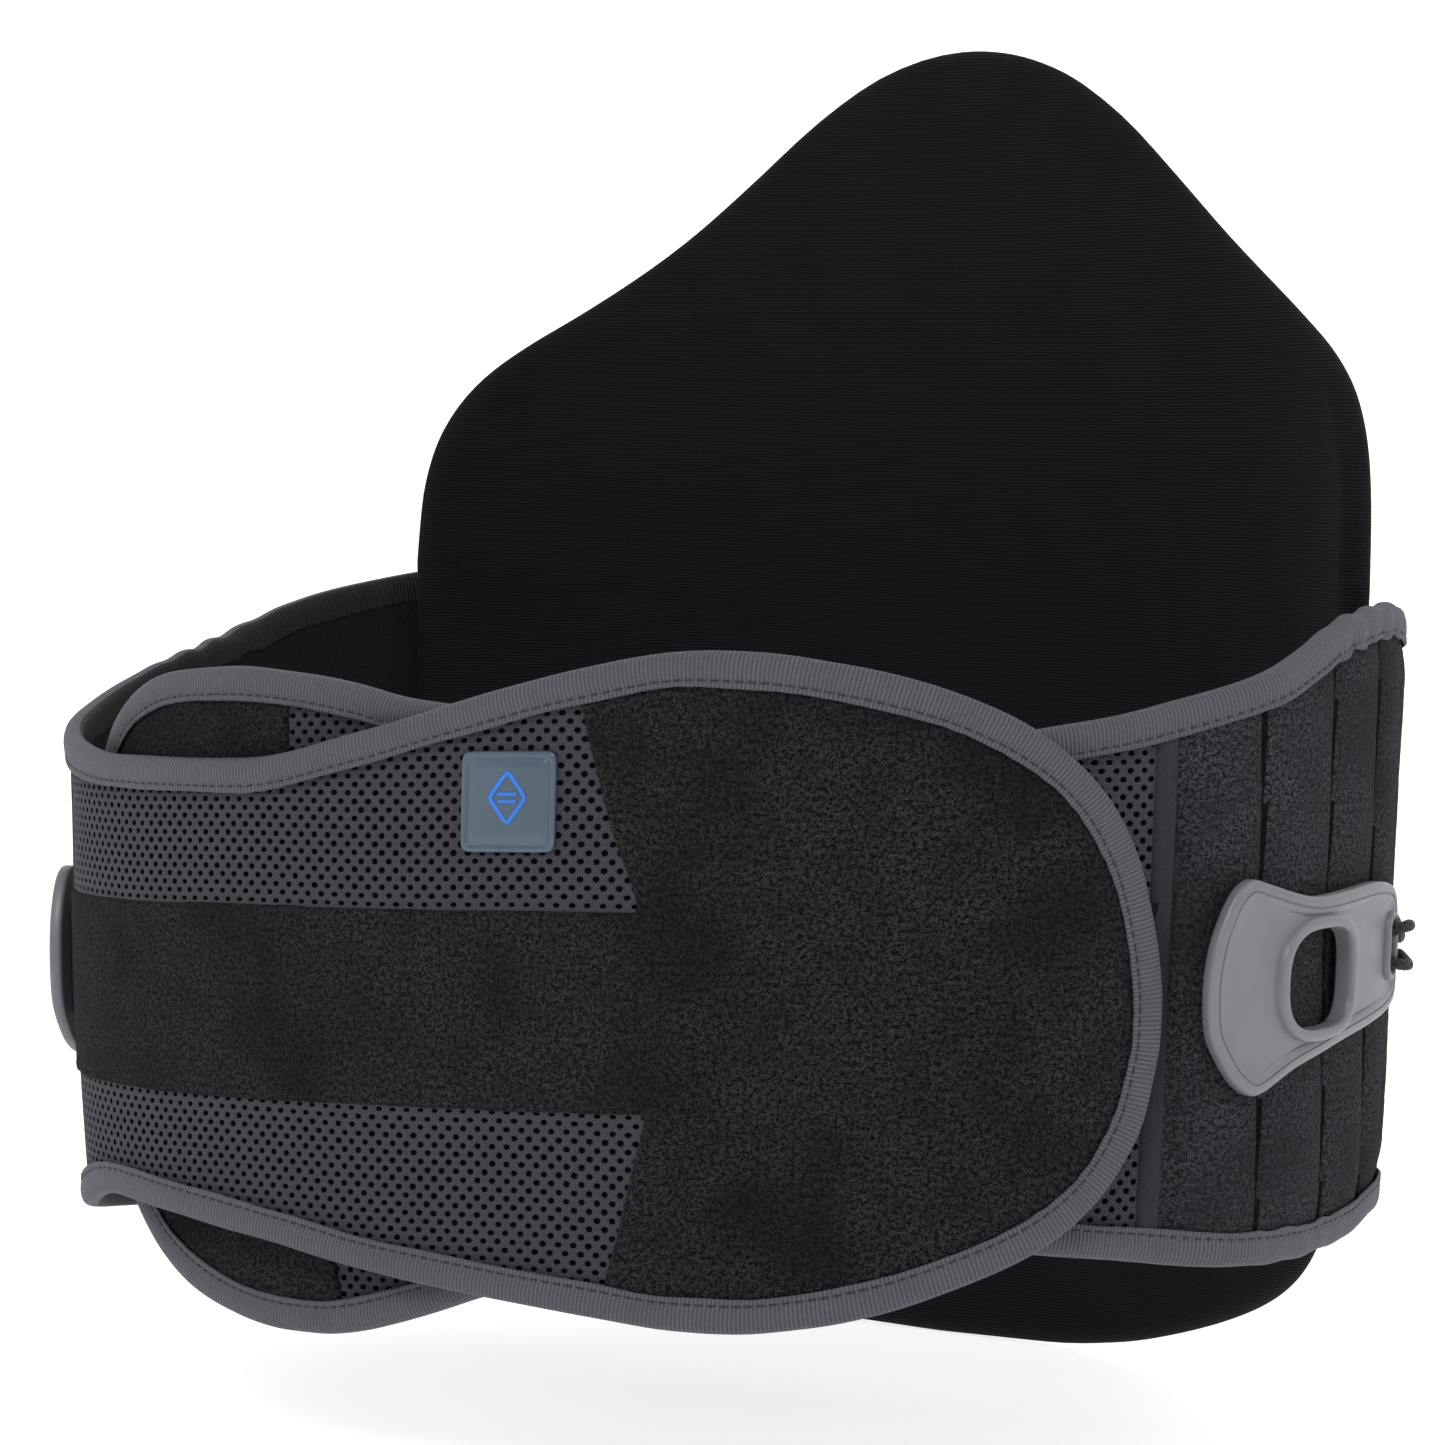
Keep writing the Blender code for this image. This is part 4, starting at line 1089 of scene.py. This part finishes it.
def stitch_row(name, spots, mats, length=1.15, radius=0.26):
    """Stitches at spots: rows of (point, direction along, direction out)."""
    unit, unit_faces = capsule()
    verts = []
    faces = []
    for p, along, up in spots:
        along = along / np.linalg.norm(along)
        up = up - (up @ along) * along
        up /= np.linalg.norm(up)
        cross = np.cross(along, up)
        start = len(verts) * len(unit)
        arch = 1 - unit[:, 0] ** 2
        pts = (p + along * (unit[:, 0, None] * length * MM) + cross * (unit[:, 1, None] * radius * MM)
               + up * ((unit[:, 2, None] * radius * 0.8 + 0.06 * arch[:, None]) * MM))
        verts.append(pts)
        faces += [tuple(v + start for v in f) for f in unit_faces]
    return make(name, np.concatenate(verts), faces, mats)


def stitches(side, word, path, out):
    k = len(path)
    t = np.arange(k) * EDGE_STEP
    period = t[-1] + EDGE_STEP
    count = round(period / STITCH_PITCH)
    marks = np.arange(count) * period / count
    q = np.vstack([path, path[:1]])
    o = np.vstack([out, out[:1]])
    tt = np.append(t, period)
    s = np.interp(marks, tt, q[:, 0])
    z = np.interp(marks, tt, q[:, 1])
    os = np.interp(marks, tt, o[:, 0])
    oz = np.interp(marks, tt, o[:, 1])
    spots = []
    for i in range(count):
        a = STITCH_A
        s2 = s[i] + os[i] * a
        z2 = z[i] + oz[i] * a
        lift = 0.55 * float(puff_at(side, s2, z2)) * float(ease((-a - 2.5) / 3.5)) if s2 < -SIDE_START else 0
        n = 2.04 + lift * 0.8
        base = float(base_at(side, s[i], z[i]))
        ds, dz = oz[i], -os[i]
        p = place(-side * s2, z2, base + n)
        e = place(-side * (s2 + ds * 0.8), z2 + dz * 0.8, base + n)
        up, _ = axes_at(-side * s2)
        spots.append((p, e - p, np.array(up)))
    obj = stitch_row(word + "_binding_stitch", spots, [THREAD])
    join_wing(obj, side)


# ------------------------------------------------------------------ label
def label():
    """Soft rubber patch with a raised frame and a plain lozenge in place of any mark."""
    cu, cz, half = 14.3, 165.3, 12.2

    def square(h, count=96):
        ang = np.linspace(0, 2 * math.pi, count, endpoint=False)
        p = 14.0
        c, s = np.cos(ang), np.sin(ang)
        rad = (np.abs(c) ** p + np.abs(s) ** p) ** (-1 / p)
        return np.stack([cu + 1.08 * h * rad * c, cz + h * rad * s], 1)
    steps = ((0.3, 0.1), (0.0, 0.35), (0.0, 1.15), (0.25, 1.42), (0.9, 1.5), (1.25, 1.42), (1.45, 1.12),
             (1.75, 1.12), (1.95, 1.36), (4.0, 1.38), (8.0, 1.38), (half - 0.6, 1.38))
    loops = [(square(half - inset), n) for inset, n in steps]
    pts = np.array([wing(-1, p[:, 0], p[:, 1], np.full(len(p), n)) for p, n in loops])
    count = pts.shape[1]
    faces = []
    for k in range(len(loops) - 1):
        for q in range(count):
            r = (q + 1) % count
            faces.append((k * count + q, k * count + r, (k + 1) * count + r, (k + 1) * count + q))
    faces.append(list(range((len(loops) - 1) * count, len(loops) * count)))
    faces.append(list(range(count)))
    obj = face_out(make("label", pts, faces, [LABEL]))
    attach(obj, "left_wing")
    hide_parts("label_patch")
    # lozenge frame and two bars, raised
    size = 6.4
    corners = [(0, size), (-size * 0.8, 0), (0, -size), (size * 0.8, 0)]
    ring_pts = []
    for k in range(4):
        a = np.array(corners[k])
        b = np.array(corners[(k + 1) % 4])
        for t in np.linspace(0, 1, 10, endpoint=False):
            ring_pts.append(a * (1 - t) + b * t)
    ring_pts = np.array(ring_pts)
    for _ in range(2):
        ring_pts = (np.roll(ring_pts, 1, 0) + 2 * ring_pts + np.roll(ring_pts, -1, 0)) / 4
    out = outward(ring_pts)
    prof = [(-0.5, 1.30), (-0.5, 1.52), (-0.36, 1.62), (0.36, 1.62), (0.5, 1.52), (0.5, 1.30)]
    rings = np.array([[wing(-1, cu + p[0] + o[0] * a, cz + 1.0 + p[1] + o[1] * a, n) for a, n in prof]
                      for p, o in zip(ring_pts, out)])
    parts = [sweep_closed("label_lozenge", rings, None, [EMBLEM])]
    for k, (w, zoff) in enumerate(((2.6, 0.9), (2.6, -0.9))):
        s = np.linspace(-w, w, 12)
        prof = [(-0.42, 1.30), (-0.42, 1.52), (-0.3, 1.62), (0.3, 1.62), (0.42, 1.52), (0.42, 1.30)]
        rings = np.array([[wing(-1, cu + q, cz + 1.0 + zoff + a, n) for a, n in prof] for q in s])
        parts.append(sweep_closed("label_bar_%d" % k, rings, None, [EMBLEM], closed=False))
    for p in parts:
        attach(p, "left_wing")


# ------------------------------------------------------------------ pull tabs
def even_loop(knots, count):
    knots = np.array(knots, float)
    m = len(knots)
    dense = []
    for i in range(m):
        p0, p1, p2, p3 = knots[i - 1], knots[i], knots[(i + 1) % m], knots[(i + 2) % m]
        for t in np.linspace(0, 1, 14, endpoint=False):
            dense.append(0.5 * ((2 * p1) + (p2 - p0) * t + (2 * p0 - 5 * p1 + 4 * p2 - p3) * t * t
                                + (3 * p1 - p0 - 3 * p2 + p3) * t ** 3))
    dense = np.array(dense)
    q = np.vstack([dense, dense[:1]])
    run = np.concatenate([[0.0], np.cumsum(np.linalg.norm(np.diff(q, axis=0), axis=1))])
    marks = np.linspace(0, run[-1], count + 1)[:-1]
    loop = np.stack([np.interp(marks, run, q[:, k]) for k in (0, 1)], 1)
    area = np.sum(loop[:, 0] * np.roll(loop[:, 1], -1) - np.roll(loop[:, 0], -1) * loop[:, 1])
    return loop if area > 0 else loop[::-1]


def draw_in(loop, amount):
    t = np.roll(loop, -1, 0) - np.roll(loop, 1, 0)
    t /= np.linalg.norm(t, axis=1)[:, None]
    return loop - np.stack([t[:, 1], -t[:, 0]], 1) * amount


def finger_hole(count, grow=0.0):
    ang = np.linspace(0, 2 * math.pi, count, endpoint=False)
    c, s = np.cos(ang), np.sin(ang)
    w = np.where(c > 0, 15.4, 15.8)
    p = np.where(c > 0, 2.8, 3.6)
    r = (np.abs(c / w) ** p + np.abs(s / 12.3) ** p) ** (-1 / p)
    return np.stack([HOLE_A + (r + grow) * c, 0.3 + (r + grow) * s], 1)


def slot_loop(count, grow):
    ang = np.linspace(0, 2 * math.pi, count, endpoint=False)
    c, s = np.cos(ang), np.sin(ang)
    return np.stack([6.6 + (2.4 + grow) * c, SLOT_Z + (2.4 + grow) * s + np.where(s > 0, 4.4, -4.4)], 1)


def tab_at(side, a, h, n):
    """A gentle curl: the tab follows the belt, its wide end lifting slightly."""
    lift = 0.5 * ease((np.asarray(a, float) - 70) / 25.0)
    if side < 0:
        lift = lift + TAB_LIFT * np.clip(np.asarray(a, float), 0, None) / 96.0
    return place(side * (TAB_REAR - np.asarray(a, float)), TAB_Z + np.asarray(h, float), n + lift)


def pull_tab(side, word):
    count = 192
    edge = even_loop(TAB, count)
    start = int(np.argmin(np.hypot(edge[:, 0] - 96.4, edge[:, 1] - 0.3)))
    edge = np.roll(edge, -start, 0)
    hole = finger_hole(count)
    border = draw_in(edge, 4.7)
    collar = finger_hole(count, 3.5)
    rings = [(draw_in(edge, 1.0), 0.9), (draw_in(edge, 0.3), 1.05), (edge, 1.5), (edge, 3.5),
             (draw_in(edge, 0.25), 4.05), (draw_in(edge, 0.8), 4.4), (draw_in(edge, 1.9), 4.52),
             (draw_in(edge, 2.5), 4.5), (draw_in(edge, 2.65), 4.2), (draw_in(edge, 2.95), 4.2),
             (draw_in(edge, 3.1), 4.48), (draw_in(edge, 3.9), 4.42), (draw_in(edge, 4.4), 4.2),
             (border, 4.05)]
    for f in (0.2, 0.4, 0.6, 0.8):
        rings.append((border * (1 - f) + collar * f, 4.05 - 0.25 * math.sin(f * math.pi)))
    rings += [(collar, 4.0), (finger_hole(count, 3.2), 4.15), (finger_hole(count, 3.0), 5.5),
              (finger_hole(count, 2.7), 6.0), (finger_hole(count, 2.1), 6.2), (finger_hole(count, 1.0), 6.2),
              (finger_hole(count, 0.4), 6.0), (finger_hole(count, 0.05), 5.5), (hole, 4.4), (hole, 1.4),
              (finger_hole(count, 0.5), 0.9)]
    for f in (0.33, 0.66):
        rings.append((finger_hole(count, 0.5) * (1 - f) + draw_in(edge, 1.0) * f, 0.9))
    pts = np.array([tab_at(side, p[:, 0], p[:, 1], np.full(len(p), n)) for p, n in rings])
    obj = sweep_closed(word + "_tab", pts, None, [PLASTIC])
    cutter_pts = []
    for n in (-2.0, 12.0):
        p = slot_loop(40, 0.0)
        cutter_pts.append(tab_at(side, p[:, 0], p[:, 1], np.full(40, n)))
    cutter = sweep_closed("cutter", np.array(cutter_pts), None, [PLASTIC], closed=False)
    mod = obj.modifiers.new("slot", "BOOLEAN")
    mod.operation = "DIFFERENCE"
    mod.solver = "EXACT"
    mod.object = cutter
    bpy.context.view_layer.update()
    deps = bpy.context.evaluated_depsgraph_get()
    mesh = bpy.data.meshes.new_from_object(obj.evaluated_get(deps))
    obj.modifiers.clear()
    obj.data = mesh
    bpy.data.objects.remove(cutter)
    bm = bmesh.new()
    bm.from_mesh(mesh)
    bmesh.ops.remove_doubles(bm, verts=bm.verts, dist=0.000005)
    bmesh.ops.recalc_face_normals(bm, faces=bm.faces)
    bm.to_mesh(mesh)
    bm.free()
    mesh.polygons.foreach_set("use_smooth", [True] * len(mesh.polygons))
    mesh.set_sharp_from_angle(angle=math.radians(42))
    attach(obj, word + "_tab")
    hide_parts(word + "_pull_tab")
    # raised collar round the cord slot
    prof = [(0.05, 3.9), (0.05, 4.9), (0.35, 5.3), (1.0, 5.45), (1.6, 5.25), (1.9, 4.8), (1.95, 3.9)]
    rings = np.array([tab_at(side, slot_loop(64, a)[:, 0], slot_loop(64, a)[:, 1], np.full(64, n))
                      for a, n in prof]).transpose(1, 0, 2)
    ring = sweep_closed(word + "_slot_collar", rings, None, [PLASTIC])
    ring.data.set_sharp_from_angle(angle=math.radians(50))
    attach(ring, word + "_tab")
    # hook pad
    a = np.linspace(74.0, 88.0, 16)
    h = np.linspace(-14.0, 14.0, 30)
    aa, hh = np.meshgrid(a, h, indexing="ij")
    rng = np.random.default_rng(5)
    low = -0.8 + rng.uniform(0, 0.35, aa.shape)
    uv = np.stack([aa * MM, hh * MM], -1)
    pad = shell(word + "_hook_pad", tab_at(side, aa, hh, np.full(aa.shape, 0.85)),
                tab_at(side, aa, hh, low), uv, [HOOK])
    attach(pad, word + "_tab")
    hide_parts(word + "_tab_hook_pad")


# ------------------------------------------------------------------ cords
EYE = ((300.2, 0.0, 3.0), (296, 1.6, 3.2), (293, 3.2, 4.0), (289.6, 4.4, 6.2), (286.2, 5.0, 7.6),
       (283, 5.0, 8.0), (280.4, 4.6, 6.6), (279.6, 3.2, 4.0), (279.5, 1.2, 2.6), (279.5, -1.2, 2.6),
       (279.6, -3.2, 4.0), (280.4, -4.6, 6.6), (283, -5.0, 8.0), (286.2, -5.0, 7.6), (289.6, -4.4, 6.2),
       (293, -3.5, 4.4), (295.6, -3.2, 3.4))


def cords():
    for side, word in SIDES:
        pts = [place(side * u, TAB_Z + SLOT_Z + z, n) for u, z, n in EYE]
        eye = tube(word + "_eye", smooth_path(pts, 0.0004), CORD_R, [CORD], 20, 0.35)
        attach(eye, word + "_cord")
        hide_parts(word + "_cord_loop")
        z_plate = 165.0 if side > 0 else 71.0
        f = np.linspace(0, 1, 19)
        u = HINGE + 1.2 + (PULLEY_U - 2.2 - HINGE - 1.2) * f
        z = TAB_Z + SLOT_Z + (z_plate - TAB_Z - SLOT_Z) * ease(f)
        pts = place(side * u, z, 3.0 + (CORD_N - 3.0) * f)
        run = tube(word + "_run", smooth_path(pts, 0.0006), CORD_R, [CORD], 16, 0.3)
        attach(run, word + "_rear")
        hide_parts(word + "_cord_run")
    for name, near, first, down in (("upper", 1, 159.0, True), ("lower", -1, 77.0, False)):
        sign = -1.0 if down else 1.0
        half = math.pi / 2

        def half_turn(side, z):
            out, along = axes_at(side * PULLEY_U)
            centre = place(side * PULLEY_U, z, CORD_N)
            start = half if down else -half
            end = (start + (math.pi if down else -math.pi)) if side > 0 else -start
            t = np.linspace(start, end, 15)
            return (centre[None] + np.array(along)[None] * (WRAP_R * MM * np.cos(t))[:, None]
                    + np.array([0, 0, 1.0])[None] * (WRAP_R * MM * np.sin(t))[:, None])
        pts = [place(near * PULLEY_U, first - sign * 6.0, CORD_N)[None]]
        last = pts[0][-1]
        knot = place(near * (PULLEY_U - 3.0), first + sign * 30.0, CORD_N + 0.4)
        for side, z in ((-near, first), (near, first + sign * 12.0), (-near, first + sign * 24.0)):
            loop = half_turn(side, z)
            t = np.linspace(0, 1, 40)[1:-1, None]
            pts.append(last[None] * (1 - t) + loop[0][None] * t)
            pts.append(loop)
            last = loop[-1]
        t = np.linspace(0, 1, 40)[1:, None]
        pts.append(last[None] * (1 - t) + knot[None] * t)
        path = np.concatenate(pts)
        step = np.concatenate([[0.0], np.cumsum(np.linalg.norm(np.diff(path, axis=0), axis=1))])
        marks = np.linspace(0, step[-1], int(step[-1] / 0.0008))
        path = np.stack([np.interp(marks, step, path[:, k]) for k in range(3)], 1)
        obj = tube(name + "_lace", path, CORD_R, [CORD], 14, 0.3)
        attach(obj, "back")
        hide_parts(name + "_lacing")
        # stopper knot on the near plate
        ball = []
        for k in range(60):
            q = k / 59 * 2 * math.pi * 2
            ball.append(knot + np.array([0, 0, 1.0]) * (2.0 * MM * math.sin(q * 1.5))
                        + np.array(axes_at(near * PULLEY_U)[1]) * (1.6 * MM * math.cos(q))
                        + np.array(axes_at(near * PULLEY_U)[0]) * ((0.8 + 1.0 * math.sin(q)) * MM))
        tie = tube(name + "_knot", smooth_path(np.array(ball)[::3], 0.0005), 1.3, [CORD], 14, 0.3)
        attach(tie, "back")


# ------------------------------------------------------------------ rear closure
def lathe(name, origin, axis, profile, mats, sides=48):
    up = Vector((0, 0, 1))
    across = axis.cross(up).normalized()
    rings = []
    for k in range(sides):
        t = 2 * math.pi * k / sides
        d = np.array(across) * math.cos(t) + np.array(up) * math.sin(t)
        rings.append([origin + d * (r * MM) + np.array(axis) * (h * MM) for r, h in profile])
    obj = sweep_closed(name, np.array(rings), None, mats)
    obj.data.set_sharp_from_angle(angle=math.radians(35))
    return obj


def rear_hardware():
    for side, word in SIDES:
        heights = (77.0, 101.0, 147.0) if side > 0 else (89.0, 135.0, 159.0)
        out, along = axes_at(side * PULLEY_U)
        # plate with rounded corners and a raised rim
        lo, hi = -PULLEY_U - 7.5, -PULLEY_U + 31.5
        count = 120
        ang = np.linspace(0, 2 * math.pi, count, endpoint=False)
        c, s = np.cos(ang), np.sin(ang)

        def rect(inset):
            w, h, r = (hi - lo) / 2 - inset, 58.0 - inset, 6.0
            x = (w - r) * np.sign(np.round(c, 6)) + r * c
            y = (h - r) * np.sign(np.round(s, 6)) + r * s
            return (lo + hi) / 2 + x, 118.0 + y
        rings = []
        for inset, n in ((0.3, 0.7), (0.0, 0.95), (0.0, 2.4), (0.5, 2.85), (1.6, 2.85), (2.0, 2.1),
                         (12.0, 1.95), (18.9, 1.95)):
            x, y = rect(inset)
            rings.append(wing(side, x, y, np.full(count, n)))
        m = len(rings)
        pts = np.array(rings)
        faces = []
        for k in range(m - 1):
            for q in range(count):
                r = (q + 1) % count
                faces.append((k * count + q, k * count + r, (k + 1) * count + r, (k + 1) * count + q))
        faces.append(list(range(count)))
        faces.append(list(range((m - 1) * count, m * count)))
        plate = face_out(make(word + "_plate", pts, faces, [SHELL]))
        plate.data.set_sharp_from_angle(angle=math.radians(40))
        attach(plate, word + "_rear")
        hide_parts(word + "_pulley_plate")
        for i, z in enumerate(heights):
            centre = place(side * PULLEY_U, z, 0.0)
            tag = "_%d" % (i + 1)
            prof = ((2.1, CORD_N - 2.8), (7.0, CORD_N - 2.8), (7.2, CORD_N - 2.6), (7.1, CORD_N - 2.3),
                    (5.2, CORD_N - 1.9), (4.4, CORD_N - 1.2), (4.3, CORD_N), (4.4, CORD_N + 1.2),
                    (5.2, CORD_N + 1.9), (7.1, CORD_N + 2.3), (7.2, CORD_N + 2.6), (7.0, CORD_N + 2.8),
                    (2.1, CORD_N + 2.8))
            wheel = lathe(word + "_wheel" + tag, centre, out, prof, [PLASTIC])
            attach(wheel, word + "_pulley" + tag)
            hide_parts(word + "_pulley" + tag)
            prof = ((0.01, 0.2), (2.0, 0.2), (2.0, CORD_N + 3.0), (3.4, CORD_N + 3.0), (3.6, CORD_N + 3.2),
                    (3.5, CORD_N + 3.6), (2.6, CORD_N + 3.85), (0.01, CORD_N + 3.9))
            pin = lathe(word + "_pin" + tag, centre, out, prof, [STEEL], 36)
            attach(pin, word + "_rear")
            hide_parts(word + "_axle" + tag)
        # keeper band
        prof = [(38.3, -5.6), (38.3, 0.2), (39.0, 0.9), (41.0, 1.02), (236.5, 1.02), (238.6, 0.9),
                (239.2, 0.2), (239.2, -5.6), (238.4, -5.6), (238.2, -0.2), (237.4, 0.2), (40.2, 0.2),
                (39.3, -0.2), (39.1, -5.6)]
        u = np.linspace(387.8, 404.2, 13)
        dense = []
        for k in range(len(prof)):
            a, b = np.array(prof[k]), np.array(prof[(k + 1) % len(prof)])
            steps = max(1, int(np.linalg.norm(b - a) / 3))
            for t in np.linspace(0, 1, steps, endpoint=False):
                dense.append(a * (1 - t) + b * t)
        dense = np.array(dense)
        rings = np.array([place(side * q, dense[:, 0], dense[:, 1]) for q in u])
        uv = np.stack([np.broadcast_to(u[:, None] * MM, rings.shape[:2]),
                       np.broadcast_to(np.cumsum(np.ones(len(dense)))[None] * 0.003, rings.shape[:2])], -1)
        keeper = sweep_closed(word + "_keeper_band", rings, uv, [TAPE_DARK], closed=False)
        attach(keeper, "back")
        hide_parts(word + "_keeper")


def closure_pad():
    s = np.arange(98.0, 156.1, 1.0)
    z = np.arange(84.0, 148.1, 1.0)
    ss, zz = np.meshgrid(s, z, indexing="ij")
    rng = np.random.default_rng(6)
    low = -3.55 + rng.uniform(0, 0.4, ss.shape)
    uv = np.stack([ss * MM, zz * MM], -1)
    pad = shell("closure_pad", wing(-1, ss, zz, np.full(ss.shape, -2.35)), wing(-1, ss, zz, low), uv, [HOOK])
    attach(pad, "left_wing")
    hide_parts("closure_hook_pad")


camera()
studio()
posterior_panel()
for side, word in SIDES:
    lining(side, word)
    spacer(side, word)
    loop_face(side, word, 0.75 if side < 0 else 1.2)
    side_panel(side, word)
    fold_strip(side, word)
    binding(side, word)
    pull_tab(side, word)
label()
cords()
rear_hardware()
closure_pad()
